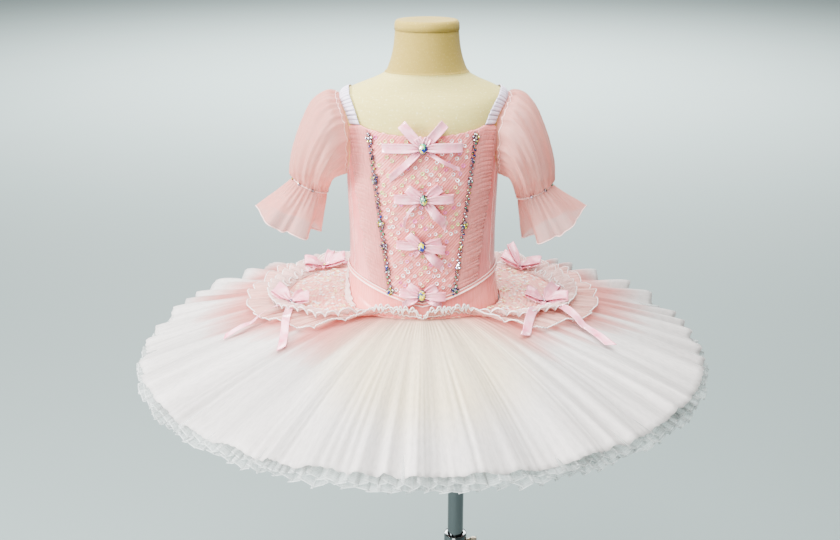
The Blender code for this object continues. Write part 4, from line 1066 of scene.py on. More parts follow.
def creased(uv: Points, creases: Sequence[Crease], mirrored: bool = False) -> Array:
    """The relief of several creases together.

    Args:
        uv: Places on the cloth in metres.
        creases: The creases.
        mirrored: Whether they are read from the other side of the cloth.

    Returns:
        Heights in metres.
    """
    u, v = uv[..., 0], uv[..., 1]
    if mirrored:
        u = u.max() - u
    return sum((crease.relief(u, v) for crease in creases), np.zeros_like(u))


def panel_places(seams: Sequence[Curve], bottom: Curve, top: Curve, across: int,
                 up: int) -> tuple[Array, Array]:
    """Angles and heights of a panel between two seams and two edges.

    Args:
        seams: Angles of its seams at a height, in order of rising angle.
        bottom: Height of the lower edge at an angle.
        top: Height of the upper edge at an angle.
        across: Points across.
        up: Points up.

    Returns:
        The angles and the heights, in rows.
    """
    u, v = grid(across, up)
    z = np.full_like(u, UNDERARM_Z)
    for _ in range(SETTLING):
        angle = between(seams[0](z), seams[1](z), u)
        z = between(bottom(angle), top(angle), v)
    return angle, z


# ---------------- dress form and stand


@dataclass
class DressForm:
    """The limbless form under the garment: linen drawn over a shell, with a covered cap on its neck."""

    sides: int = 96
    bore_radius: float = 0.0103
    bore_top_z: float = 0.836
    bevel: tuple[float, float] = (0.94, 0.92)
    bevel_height: float = 0.006
    cap_lip: float = 0.0008
    cap_edge: float = 0.006
    cap_round: float = 0.004
    seam_z: float = 1.2335  # where the neck's cover is sewn to the shoulders'
    seam_rise: float = 0.0007
    seam_width: float = 0.0016

    def ring(self, z: float) -> Points:
        """One ring of the form, with the neck seam standing a little proud."""
        proud = self.seam_rise * math.exp(-((z - self.seam_z) / self.seam_width) ** 2)
        return worn_point(around(self.sides), z, proud)

    def covered(self, name: str, rows: Points, node: str) -> bpy.types.Object:
        """A linen shell through closed rows of points, filled at both ends."""
        last = (len(rows) - 1) * self.sides
        faces = [*grid_faces(rows, True), range(self.sides)[::-1], range(last, last + self.sides)]
        caps = np.concatenate([rows[0][::-1, :2], rows[-1][:, :2]])
        piece = add_mesh(name, rows, faces, LINEN, np.concatenate([grid_uv(cloth_uv(rows, True)), caps]))
        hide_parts(node)
        return piece

    def shell(self) -> None:
        """The torso, from the bore in its flat underside to the neck."""
        turns, r = around(self.sides), self.bore_radius
        bore = stack(POLE_X + r * sin_of(turns), -r * cos_of(turns), UNDERSIDE_Z)
        lowest = UNDERSIDE_Z + self.bevel_height
        under = self.ring(lowest) * [*self.bevel, 0] + [0, 0, UNDERSIDE_Z]
        heights = np.concatenate([np.linspace(lowest, 1.16, 26), np.linspace(1.165, 1.228, 26),
                                  np.linspace(1.2305, 1.2365, 9), np.linspace(1.242, NECK_TOP_Z, 9)])
        rows = [bore + [0, 0, self.bore_top_z - UNDERSIDE_Z], bore, under, *map(self.ring, heights)]
        piece = self.covered("dress_form_cover", np.stack(rows), "dress_form")
        piece.data.set_sharp_from_angle(angle=math.radians(50))

    def cap(self) -> None:
        """The cap on the neck, its linen turned over a rounded rim."""
        neck = form_point(around(self.sides), NECK_TOP_Z)
        middle = neck.mean(axis=0)
        flat = neck * [1, 1, 0]
        outward = unit((neck - middle) * [1, 1, 0])
        rows = [flat + outward * self.cap_lip + [0, 0, NECK_TOP_Z + SEAM]]
        for turn in np.linspace(0, 1, 7) * math.pi / 2:
            z = between(NECK_TOP_Z + self.cap_edge, TOTAL_HEIGHT, math.sin(turn))
            rows.append(flat + outward * (self.cap_lip - self.cap_round * (1 - math.cos(turn))) + [0, 0, z])
        rows += [between(rows[7], middle * [1, 1, 0] + [0, 0, TOTAL_HEIGHT], inset) for inset in (0.35, 0.75)]
        self.covered("neck_cap_cover", np.stack(rows), "neck_cap")

    def build(self) -> None:
        """Make the form and its cap."""
        self.shell()
        self.cap()


def welded(name: str, points: Points, faces: list) -> bpy.types.Mesh:
    """A mesh with its doubled points joined and its faces turned outward.

    Args:
        name: Its name.
        points: One row a point.
        faces: The points of each face.

    Returns:
        The mesh.
    """
    mesh = bpy.data.meshes.new(name)
    mesh.from_pydata(points.tolist(), [], faces)
    bm = bmesh.new()
    bm.from_mesh(mesh)
    bmesh.ops.remove_doubles(bm, verts=bm.verts, dist=1e-6)
    bmesh.ops.recalc_face_normals(bm, faces=bm.faces)
    bm.to_mesh(mesh)
    bm.free()
    return mesh


@dataclass
class Stand:
    """Chromed floor stand: domed plate, outer tube, sliding pole and a knurled clamp screw."""

    pole_radius: float = 0.0122
    tube_radius: float = 0.0175
    tube_wall: float = 0.0015
    tube_top_z: float = 0.512
    base_radius: float = 0.15
    screw_z: float = 0.496
    screw_pitch: float = 0.0005
    sides: int = 96

    def finished(self, name: str, points: Points, faces: list, body: str, finish: Finish,
                 node: str) -> bpy.types.Object:
        """Put a hard piece in the scene, welded and with crisp edges, in place of its node."""
        piece = shown(name, welded(name, points, faces), finish, body)
        piece.data.set_sharp_from_angle(angle=math.radians(32))
        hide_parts(node)
        return piece

    def turned(self, name: str, profile: Sequence[tuple[float, float]], body: str,
               node: str) -> bpy.types.Object:
        """A chromed piece turned about the stand's axis.

        Args:
            name: The piece.
            profile: A closed outline of radius and height, or one from the axis to the axis.
            body: What it rides on.
            node: What it stands for.

        Returns:
            The piece.
        """
        outline = [*profile, profile[0]] if profile[0][0] > 0 else profile
        points, faces = lathe_shape(outline, self.sides)
        return self.finished(name, points + [POLE_X, 0, 0], faces, body, CHROME, node)

    def plate(self) -> None:
        """The domed base plate with its boss and rolled rim."""
        r, roll, quarter = self.base_radius, 0.0035, math.pi / 2
        rim = [(r - roll + roll * math.cos(t), roll + roll * math.sin(t))
               for t in np.linspace(-quarter, 0.84 * quarter, 9)]
        dome = [(r - 0.0015 - 0.0385 * t, 0.0095 - 0.0025 * (1 - t) ** 2 + 0.001 * t)
                for t in np.linspace(0.1, 1, 8)]
        foot = [(0.026 + 0.012 * (1 - math.sin(t)), 0.0105 + 0.01 * (1 - math.cos(t)))
                for t in np.linspace(0, quarter, 7)]
        boss = [(0.026, 0.0285), (0.0245, 0.03), (0.0185, 0.03), (0.018, 0.0295), (0.018, 0.01)]
        self.turned("base_plate_domed", [(0, 0), *rim, *dome, *foot, *boss, (0, 0.01)], "stand", "base_plate")

    def tube(self) -> None:
        """The outer tube, with a turned collar line and the clamp screw's hole."""
        r, wall, top, foot = self.tube_radius, self.tube_wall, self.tube_top_z, 0.0104
        bore = self.pole_radius + 0.0005
        outer = self.turned("stand_tube_turned", [
            (r - 0.0012, top), (r - 0.0004, top - 0.0004), (r, top - 0.0012), (r, top - 0.034),
            (r - 0.0006, top - 0.0346), (r - 0.0006, top - 0.0354), (r, top - 0.036), (r, foot),
            (r - wall, foot), (r - wall, top - 0.04), (bore, top - 0.04), (bore, top)], "stand", "stand_tube")
        points, faces = lathe_shape([(0, 0), (0.0035, 0), (0.0035, 0.012), (0, 0.012)], 24)
        points = points[:, [2, 1, 0]] + [POLE_X + self.pole_radius + 0.002, 0, self.screw_z]
        hole = linked("screw_hole", welded("screw_hole", points, faces))
        cut = outer.modifiers.new("screw_hole", "BOOLEAN")
        cut.operation, cut.solver, cut.object = "DIFFERENCE", "EXACT", hole
        bpy.context.view_layer.update()
        graph = bpy.context.evaluated_depsgraph_get()
        mesh = bpy.data.meshes.new_from_object(outer.evaluated_get(graph))
        outer.modifiers.clear()
        outer.data = mesh
        bpy.data.objects.remove(hole, do_unlink=True)

    def pole(self) -> None:
        """The sliding pole with its flange and spigot."""
        r, wall, skirt, spigot = self.pole_radius, self.tube_wall, 0.0165, 0.0098
        flange, top = UNDERSIDE_Z - SEAM, UNDERSIDE_Z + 0.035
        self.turned("stand_pole_turned", [
            (spigot - 0.001, top), (spigot, top - 0.001), (spigot, flange), (skirt - 0.0008, flange),
            (skirt, flange - 0.0008), (skirt, flange - 0.0032), (skirt - 0.0008, flange - 0.004),
            (r, flange - 0.004), (r, 0.2305), (r - 0.0005, 0.23), (r - wall, 0.23), (r - wall, flange - 0.01),
            (spigot - wall, flange - 0.008), (spigot - wall, top)], "pole", "stand_pole")

    def screw(self) -> None:
        """The clamp screw: threaded shank, grooved neck and knurled head."""
        start, neck = POLE_X + self.pole_radius + SEAM, POLE_X + self.tube_radius + 0.0012
        thread = [(0.003 - 0.0003 * (k % 2), start + self.screw_pitch * k)
                  for k in range(int((neck - start) / self.screw_pitch))]
        head = [(radius, neck + out) for radius, out in (
            (0.003, 0), (0.005, 0), (0.005, 0.004), (0.0068, 0.006), (0.0072, 0.0064), (0.0072, 0.0136),
            (0.0066, 0.0148), (0.005, 0.015), (0, 0.015))]
        points, faces = lathe_shape([(0, start), *thread, *head], 72)
        radius = np.linalg.norm(points[:, :2], axis=1, keepdims=True)
        turn = np.arctan2(points[:, 1:2], points[:, :1])
        knurl = 1 - 0.03 * (np.cos(turn * 24) > 0) * (radius > 0.007)
        points = np.concatenate([points[:, :2] * knurl, points[:, 2:]], axis=1)[:, [2, 1, 0]]
        points[:, 2] += self.screw_z
        self.finished("clamp_screw_knurled", points, faces, "clamp_screw", NICKEL, "clamp_screw")

    def build(self) -> None:
        """Make the stand."""
        self.plate()
        self.tube()
        self.pole()
        self.screw()


# ---------------- bodice


@dataclass
class Bodice:
    """Boned satin bodice: lace plastron, side fronts, backs, hooked placket and frills."""

    bone_ridge: float = 0.0006
    bone_width: float = 0.0016
    frill_folds: int = 36
    hook_pitch: float = 0.017
    side_front: tuple[Crease, ...] = each(
        Crease, (22, 26, 60, 3.2, -1.2, 62), (34, 58, 44, 2.6, 1.05, 55), (14, 84, 52, 3.6, -1.05, 74),
        (48, 96, 38, 2.4, 1.2, 40), (58, 40, 50, 3, -1.35, 118), (62, 122, 34, 2.2, 1.35, 35),
        (70, 70, 46, 2.8, 1.05, 128), (40, 140, 40, 3.4, -1.2, 70), (66, 14, 40, 2.4, 1.2, 150),
        (30, 172, 34, 2.8, -1.05, 96), (52, 10, 34, 2.6, -1.05, 24), (74, 104, 26, 2, 1.05, 44))
    back: tuple[Crease, ...] = each(
        Crease, (24, 22, 54, 3.4, -1.2, 60), (44, 60, 60, 3, 1.05, 112), (70, 34, 46, 3, -1.2, 70),
        (92, 80, 64, 3.6, -1.05, 98), (60, 112, 50, 2.8, 1.05, 50), (108, 20, 40, 2.6, 1.2, 140),
        (30, 96, 44, 3, -0.9, 78), (84, 140, 46, 3.2, -1.05, 104), (112, 118, 38, 2.6, 0.9, 66))

    def panel(self, node: str, side: int, seams: Sequence[Curve], top: Curve, bones: Sequence[float],
              creases: Sequence[Crease]) -> None:
        """A satin panel with boning ridges, each with its line of stitching, and its own creases.

        Args:
            node: Its node.
            side: 1 for +X, -1 for -X.
            seams: Angles of its two seams by height, the one nearer the front first.
            top: Height of its top edge by angle.
            bones: Shares across it, from the front seam, at which bones run.
            creases: Its creases, from the front seam.
        """
        across, up = (61, 81) if "front" in node else (45, 65)
        angle, z = panel_places(seams[::side], waist_z, top, across, up)
        uv = cloth_uv(worn_point(angle, z, EASE))
        width = uv[..., 0].max()
        share = uv[..., 0] / width
        share = share if side > 0 else 1 - share
        relief = creased(uv, creases, side < 0)
        for bone in bones:
            relief = relief + self.bone_ridge * np.exp(-((share - bone) * width / self.bone_width) ** 2)
        v = np.linspace(0, 1, up)[:, None]
        relief = np.maximum(relief * ramp(v, 0, 0.06) * (1 - 0.5 * ramp(v, 0.96, 1)), -0.0008)
        Cloth(f"{node}_satin", worn_point(angle, z, EASE + relief), SIDE_SATIN, uv=uv, replaces=node).build()
        for bone in bones:
            line = slice(2, -1), round((bone if side > 0 else 1 - bone) * (across - 1))
            path = worn_point(angle[line], z[line], WORN + relief[line] + 0.0002)
            add_mesh(f"{node}_bone_{int(bone * 100)}",
                     *sweep(path, 0.0006, 6, normals=unit(path * [1, 1, 0]), flat=0.6), PINK_THREAD)

    def plastron(self) -> None:
        """The lace front, its top edge a little ragged where the lace is cut along its motifs."""
        def scallop(angle: Array) -> Array:
            """Top edge with small uneven scallops."""
            scallops = 0.0011 * np.abs(np.sin(np.radians(angle) * 26))
            return front_top_z(angle) + scallops + 0.0006 * wander(angle / 2.3, 5)
        angle, z = panel_places((lambda h: -plastron_edge(h), plastron_edge), waist_z, scallop, 81, 121)
        x = form_point(angle, z)[..., 0]
        ripples = 0.0003 * wander((x * 0.8 + z) / 0.006, 11) + 0.0003 * wander((z - x) / 0.017, 12)
        Cloth("plastron_lace", worn_point(angle, z, EASE + ripples), PLASTRON_LACE, uv=stack(x, z),
              replaces="bodice_front_centre").build()

    def placket(self) -> None:
        """The back opening's underlap with its row of hooks and eyes."""
        half = PLACKET_TURN - SEAM_TURN
        seams = level(180 - half), level(180 + half)
        angle, z = panel_places(seams, waist_z, level(BACK_NECKLINE_Z), 13, 81)
        points = worn_point(angle, z, EASE + 0.0002 * wander(z / 0.02, 21))
        Cloth("placket_satin", points, SIDE_SATIN, replaces="back_placket").build()
        hooks, turns, bend = Heap(), np.linspace(0, 1.5 * math.pi, 12), 0.0022
        for height in np.arange(WAIST_Z + 0.012, BACK_NECKLINE_Z - 0.004, self.hook_pitch):
            x, y, z = worn_point(180, height, WORN + 0.0006)
            for side, _ in SIDES:
                wire = stack(x + side * (0.0015 + bend * np.cos(turns)), y + 0.0006, z + bend * np.sin(turns))
                hooks.add(*sweep(wire, 0.00045, 6, normals=np.array([0.0, 1.0, 0.0])))
        hooks.build("placket_hooks", SETTING)

    def frill(self, side: int, mark: str) -> None:
        """A strip of organza in small cross folds, sewn along the plastron and loose at its outer edge.

        Args:
            side: 1 for +X, -1 for -X.
            mark: right or left.
        """
        u, v = grid(10, 433)
        z = between(PLASTRON_WAIST_Z, PLASTRON_TOP_Z, v)
        seed, depth = (31, 1.0) if side > 0 else (37, 0.5)
        phase = v * self.frill_folds + 0.3 * wander(v * self.frill_folds / 3, seed)
        fold = depth * np.abs(np.sin(math.pi * phase)) ** 0.6
        loose = u ** 1.2
        for _ in range(SETTLING):
            x = plastron_half(z) + FRILL_INSET + FRILL_WIDTH * u
            x = x + 0.0014 * loose * fold + 0.0012 * loose * wander(phase / 5, seed + 1)
            angle = angle_at(x, z) * side
            z = between(waist_z(angle) + FRILL_RAISE, front_top_z(angle) - FINE, v)
        lift = between(0.0003, 0.0016, loose) * fold + 0.0008 * loose * (1 + wander(phase / 5, seed + 2))
        points = worn_point(angle, z, WORN + TRIM_LIFT + FRILL_CROWN * np.sin(math.pi * u) + lift)
        Cloth(f"frill_{mark}_organza", points[:, ::side], FRILL_ORGANZA, wall=0.0004, held="gathered",
              rests_on=(f"bodice_side_front_{mark}_satin",), replaces=f"frill_{mark}").build()

    def build(self) -> None:
        """Make every panel and the trims that are cloth."""
        self.plastron()
        for side, mark in SIDES:
            front = (lambda h, s=side: s * (plastron_edge(h) + SEAM_TURN)), level(side * (90 - SIDE_TURN))
            back = level(side * (90 + SIDE_TURN)), level(side * (180 - PLACKET_TURN))
            self.panel(f"bodice_side_front_{mark}", side, front, front_top_z, (0.6,), self.side_front)
            self.panel(f"bodice_back_{mark}", side, back, back_top_z, (0.3, 0.66), self.back)
            self.frill(side, mark)
        self.placket()


@dataclass
class Waist:
    """Double piping over the pointed waist seam, and the satin basque below it."""

    creases: tuple[Crease, ...] = each(
        Crease, (30, 26, 70, 3.4, 0.9, 152), (64, 18, 60, 3, -0.8, 160), (104, 10, 54, 2.6, 0.7, 170),
        (196, 12, 60, 2.8, 0.7, 8), (236, 22, 62, 3.2, -0.8, 22), (270, 26, 60, 3, 0.8, 30),
        (48, 40, 40, 2.4, -0.6, 140), (252, 42, 44, 2.4, 0.6, 38))

    def basque(self, name: str, start: float, end: float, creases: Sequence[Crease]) -> None:
        """One half of the basque."""
        angle, z = panel_places((level(start), level(end)), level(BASQUE_HEM_Z),
                                lambda a: waist_z(np.where(a > 180, a - 360, a)) - 2 * SEAM, 97, 21)
        uv = cloth_uv(worn_point(angle, z, EASE))
        points = worn_point(angle, z, EASE + np.clip(creased(uv, creases), -0.0007, 0.001))
        Cloth(f"{name}_satin", points, BASQUE_SATIN, uv=uv, replaces=name).build()

    def piping(self) -> None:
        """Two fine bias cords side by side, following the point of the waist."""
        turns, share = around(240, -180), np.linspace(0, 1, 17)
        drop = 0.0033 * (1 - 2 * share)
        rise = 0.0002 + 0.002 * np.maximum(np.abs(np.cos(math.pi * share)) - 0.3, 0) ** 0.5 / 0.84
        drop = np.concatenate([drop, drop[::-1][1:-1]])
        rise = np.concatenate([rise, np.zeros(15)])
        rings = worn_point(turns[:, None], waist_z(turns)[:, None] + drop, WORN + TRIM_LIFT + rise[None])
        i, j = cells(*rings.shape[:2])
        corners = (0, 0), (0, 1), (1, 1), (1, 0)
        uv = np.stack([stack((i + a) * 0.0027, (j + b) * 0.0009) for a, b in corners], axis=-2)
        piece = add_mesh("waist_piping_cords", rings, tube_faces(*rings.shape[:2], True), PIPING_SATIN, uv)
        piece.data.materials.append(BASQUE_SATIN.material())
        piece.data.polygons.foreach_set("material_index", ((j >= 5) & (j < 11)).astype(np.int32).ravel())
        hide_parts("waist_piping")

    def hip_lace(self) -> None:
        """A small piece of white lace sewn on the basque at the left hip."""
        u, v = grid(61, 41)
        angle = between(-112, -52 - 34 * v ** 0.8 + 3 * wander(v * 6, 77), u)
        z = between(BASQUE_HEM_Z + 0.002, waist_z(angle) - 0.004, v)
        knots = 0.0013 * np.clip(wander(u * 14, 78) + wander(v * 10, 79), 0, 2)
        points = worn_point(angle, z, WORN + 0.0009 + knots)
        Cloth("hip_lace_motif", points, MOTIF_LACE, wall=0.0005, rests_on=("basque_front_satin",)).build()

    def build(self) -> None:
        """Make the piping and both halves of the basque."""
        self.piping()
        self.basque("basque_front", -90 + SIDE_TURN, 90 - SIDE_TURN, self.creases)
        self.basque("basque_back", 90 + SIDE_TURN, 270 - SIDE_TURN, self.creases[:4])
        self.hip_lace()


# ---------------- straps and sleeves


@dataclass
class Straps:
    """Shirred elastic over the shoulders: close cross ribs between frilled edges."""

    worn_length: float = 0.143
    width: float = 0.017
    rib_pitch: float = 0.0058
    rib_height: float = 0.0016

    def strap(self, side: int, mark: str) -> None:
        """One strap, from the front corner to the back one.

        Args:
            side: 1 for +X, -1 for -X.
            mark: right or left.
        """
        ribs = int(self.worn_length / self.rib_pitch)
        turn, u = np.meshgrid(np.linspace(0, 8, ribs * 10 + 1), np.linspace(0, 1, 11))
        phase = turn / 8 * ribs + 0.12 * wander(turn * 6, 41)
        frill = (np.abs(2 * u - 1) ** 5) * 0.35 * np.cos(math.tau * phase)
        spread = u + (u - 0.5) * 0.06 * frill
        angle, z = (between(STRAP.at(f"neck_{name}", turn), STRAP.at(f"arm_{name}", turn), spread)
                    for name in ("angle", "z"))
        swell = 0.6 + 0.4 * np.sin(math.pi * u)
        relief = self.rib_height * swell * np.abs(np.sin(math.pi * phase)) ** 0.7
        points = worn_point(side * angle, z, STRAP_EASE + relief)
        uv = stack(u * self.width, phase * self.rib_pitch)
        Cloth(f"strap_{mark}_shirred", points[::-side], ELASTIC, wall=STRAP_WALL * 0.8, uv=uv[::-side],
              held="gathered", replaces=f"strap_{mark}").build()

    def build(self) -> None:
        """Make both straps."""
        for side in SIDES:
            self.strap(*side)


@dataclass
class Sleeves:
    """Puff sleeves of organza, gathered into the armhole and by elastic above a flared flounce."""

    columns: int = 180
    top_folds: int = 26
    cuff_folds: int = 27
    left_lift: float = 0.009  # the left sleeve sits this much higher at its cuff
    left_open: tuple[float, float] = (0.006, 0.008)  # and its hem opens out and down by these
    creases: tuple[tuple[float, float, float, float, float], ...] = (
        # turn, ring, reach in rings, half width in degrees, height in mm
        (4, 3.4, 5, 2.8, 1.4), (22, 3, 5.6, 6.5, -2.6), (38, 3.6, 5.2, 2.5, 2.1), (57, 3.2, 5, 6.5, -3),
        (74, 3.4, 5.4, 2.5, 2.2), (93, 3.6, 4.8, 6, -2.8), (109, 3.2, 5, 2.5, 2.1), (128, 3.6, 4.6, 6, -2.4),
        (149, 3.4, 4.4, 2.8, 1.6), (190, 3.4, 4.6, 7, -2.2), (216, 3.6, 5, 2.8, 1.9),
        (239, 3.2, 5, 6.5, -2.8), (262, 3.4, 5.2, 2.8, 2.1), (286, 3.6, 4.8, 6.5, -2.8),
        (309, 3.2, 5.2, 2.8, 1.9), (334, 3.4, 5, 6.5, -2.4))

    def ring_points(self, table: Table, ring: Array, turn: Array, side: int,
                    wave: Reals = 0.0, radial: Reals = 0.0) -> Points:
        """Points of sleeve rings by their turn from the outermost point to the front.

        Args:
            table: The rings.
            ring: Which ring, whole or between two.
            turn: Turn in degrees.
            side: 1 for +X, -1 for -X.
            wave: Height of the main waves.
            radial: Any more distance from the ring's centre.

        Returns:
            The points.
        """
        outer, inner, mid = (
            stack(table.at(f"{place}_x", ring), SLEEVE_CENTRE_Y, table.at(f"{place}_z", ring))
            for place in ("outer", "inner", "front"))
        forward = stack(0, table.at("front_y", ring) - SLEEVE_CENTRE_Y, 0)
        centre, span = (outer + inner) / 2, (outer - inner) / 2
        c, s = cos_of(turn)[..., None], sin_of(turn)[..., None]
        point = centre + span * c + forward * s + (mid - centre) * s * s
        reach = np.asarray(wave * cos_of(turn * FLOUNCE_WAVES) + radial)
        point = point + unit(point - centre) * reach[..., None]
        if side < 0:
            flounce = table is FLOUNCE
            raised = 1 if flounce else ramp(ring, 1, 6)[..., None]
            opened = (1 + c) / 2 * np.asarray(ring)[..., None] / 2 if flounce else 0
            out, down = self.left_open
            point = point + raised * np.array([0, 0, self.left_lift]) + opened * np.array([out, 0, -down])
        return point * [side, 1, 1]

    def seam_points(self, turn: Array, side: int) -> Points:
        """Points of the sewn edge round the armhole."""
        front = np.where(turn <= 180, turn, 360 - turn)
        angle, z = SLEEVE_SEAM.at("angle", front), SLEEVE_SEAM.at("z", front)
        return worn_point(side * np.where(turn <= 180, angle, 180 - angle), z, WORN - SHEER / 2)

    def organza(self, name: str, points: Points, side: int, rests_on: str) -> None:
        """The cloth of one ring-shaped piece."""
        Cloth(f"{name}_organza", points[::side], SLEEVE_ORGANZA, wall=0.0005, outward=-1, closed=True,
              held="gathered", rests_on=(rests_on,), replaces=name).build()

    def cord(self, name: str, path: Points, radius: float, sides: int) -> None:
        """A round cord along a closed edge."""
        add_mesh(name, *sweep(path, radius, sides, True, unit(path - path.mean(axis=0))), SLEEVE_HEM)

    def puff(self, side: int, mark: str) -> None:
        """One puff: gathers running out of both sewn edges, and longer folds between them.

        Args:
            side: 1 for +X, -1 for -X.
            mark: right or left.
        """
        turn, ring = np.meshgrid(around(self.columns, 180) % 360, np.linspace(0, 6, 41))
        body = self.ring_points(SLEEVE, np.maximum(ring, 1), turn, side)
        sewn = between(self.seam_points(turn, side), body, ramp(ring, 0, 1.15)[..., None])
        points = np.where(ring[..., None] < 1, sewn, body)
        near = ((ring > 0.2) & (ring < 2.2))[..., None]
        for _ in range(3):
            smooth = points.copy()
            smooth[1:-1] = (points[:-2] + points[1:-1] * 2 + points[2:]) / 4
            points = np.where(near, smooth, points)
        seed, gathering, strength = (51, 0.0022, 1.7) if side > 0 else (57, 0.0017, 1.4)
        top = self.top_folds * turn / 360 + 0.5 * sin_of(turn * 2 + 40 * side) + 0.3 * sin_of(turn * 5 + 90)
        cuff = self.cuff_folds * turn / 360 + 0.4 * sin_of(turn * 3 - 30 * side)
        depth = 1 + 0.6 * sin_of(turn * 4 + seed) * cos_of(turn * 7)
        head = cos_of(turn / 2) ** 2 * 0.6 + 0.4
        gathers = 1 - 2 * np.abs(np.sin(math.pi * top))
        relief = gathering * head * depth * gathers * ramp(ring, 0.05, 0.5) * (1 - ramp(ring, 0.8, 2.6))
        relief = relief + 0.0019 * depth * np.sin(math.tau * cuff) * ramp(ring, 4.3, 5.7) \
            * (1 - 0.6 * ramp(ring, 5.8, 6))
        for at, middle, reach, width, height in self.creases:
            off = (turn - at - 5 * (ring - middle) + 180) % 360 - 180
            window = 1 - ramp(np.abs(ring - middle), reach * 0.15, reach * 0.6)
            relief = relief + strength * height * MM * window * np.exp(-(off / width) ** 2)
        normals = unit(np.cross(neighbours(points, 1), np.gradient(points, axis=0))) * side
        points = points + normals * relief[..., None]
        stitches = sweep(points[3] + normals[3] * 0.0002, 0.0006, 6, True, normals[3])
        add_mesh(f"sleeve_{mark}_gathering_thread", *stitches, SLEEVE_HEM)
        self.organza(f"sleeve_{mark}", points, side, f"strap_{mark}_shirred")

    def flounce(self, side: int, mark: str) -> None:
        """The flounce below the elastic: waves that open towards a narrow rolled hem.

        Args:
            side: 1 for +X, -1 for -X.
            mark: right or left.
        """
        turn, ring = np.meshgrid(around(216, 180) % 360, np.linspace(0, 2, 21))
        seed = 61 if side > 0 else 67
        fall = ramp(ring, 0.05, 1.9)
        gather = 0.0013 * np.sin(math.tau * self.cuff_folds * turn / 360) * (1 - ramp(ring, 0.3, 1.5))
        folds = 11 * turn / 360 + 0.4 * sin_of(turn * 3 + seed)
        broad = 0.0022 * fall * np.sin(math.tau * folds) * (0.7 + 0.5 * sin_of(turn * 5 + seed))
        radial = gather * ramp(ring, 0, 0.2) + broad + 0.0024 * fall * sin_of(turn * 4 + 30 * side)
        points = self.ring_points(FLOUNCE, ring, turn, side, FLOUNCE.at("wave", ring), radial)
        points = points + stack(0, 0, 0.0016 * fall * sin_of(turn * 7 + seed))
        self.organza(f"flounce_{mark}", points, side, f"sleeve_{mark}_organza")
        self.cord(f"flounce_{mark}_rolled_hem", points[-1], 0.0008, 6)

    def elastic(self, side: int, mark: str) -> None:
        """The gathering line, stitched over elastic, where the puff meets the flounce."""
        turns = around(360)
        folds = 0.0007 * sin_of(turns * self.cuff_folds * 2)
        path = self.ring_points(SLEEVE, np.full(360, 6), turns, side, 0, 0.0009 + folds) - [0, 0, 0.0002]
        self.cord(f"cuff_{mark}_elastic", path, 0.0013, 8)

    def build(self) -> None:
        """Make both sleeves."""
        for side in SIDES:
            self.puff(*side)
            self.flounce(*side)
            self.elastic(*side)


# ---------------- skirt


@dataclass(frozen=True)
class NetLayer:
    """One layer of net: its node, edge, fall and knife pleats."""

    node: str
    hem: float
    root_z: float
    drop: float
    sag: float
    depth: float
    start: float
    deepening: float

    def z(self, radius: Array) -> Array:
        """Height of its outer face without pleats."""
        share = np.maximum((radius - SKIRT_INNER) / (self.hem - SKIRT_INNER), 0)
        return self.root_z - self.drop * share ** self.sag

    def pleat(self, radius: Array) -> Array:
        """How far its pleats rise and fall."""
        return self.depth * np.maximum((radius - self.start) / (self.hem - self.start), 0) ** self.deepening

    def grid(self, columns: int, shares: Array) -> tuple[Array, Array, Array]:
        """Angles, shares from root to hem, and radii, in closed rows."""
        angle, share = np.meshgrid(around(columns, 180), shares)
        return angle, share, between(hip_radius(angle, WORN + 2 * SEAM), self.hem, share)


TOP_NET = NetLayer("skirt_top", 0.404, 0.908, 0.069, 1.5, 0.0028, 0.13, 1.4)
MIDDLE_NET = NetLayer("skirt_middle", 0.4065, 0.895, 0.0655, 1.4, 0.004, 0.16, 1.6)
LOWER_NET = NetLayer("skirt_lower", 0.409, 0.8845, 0.059, 1.3, 0.004, 0.16, 1.6)


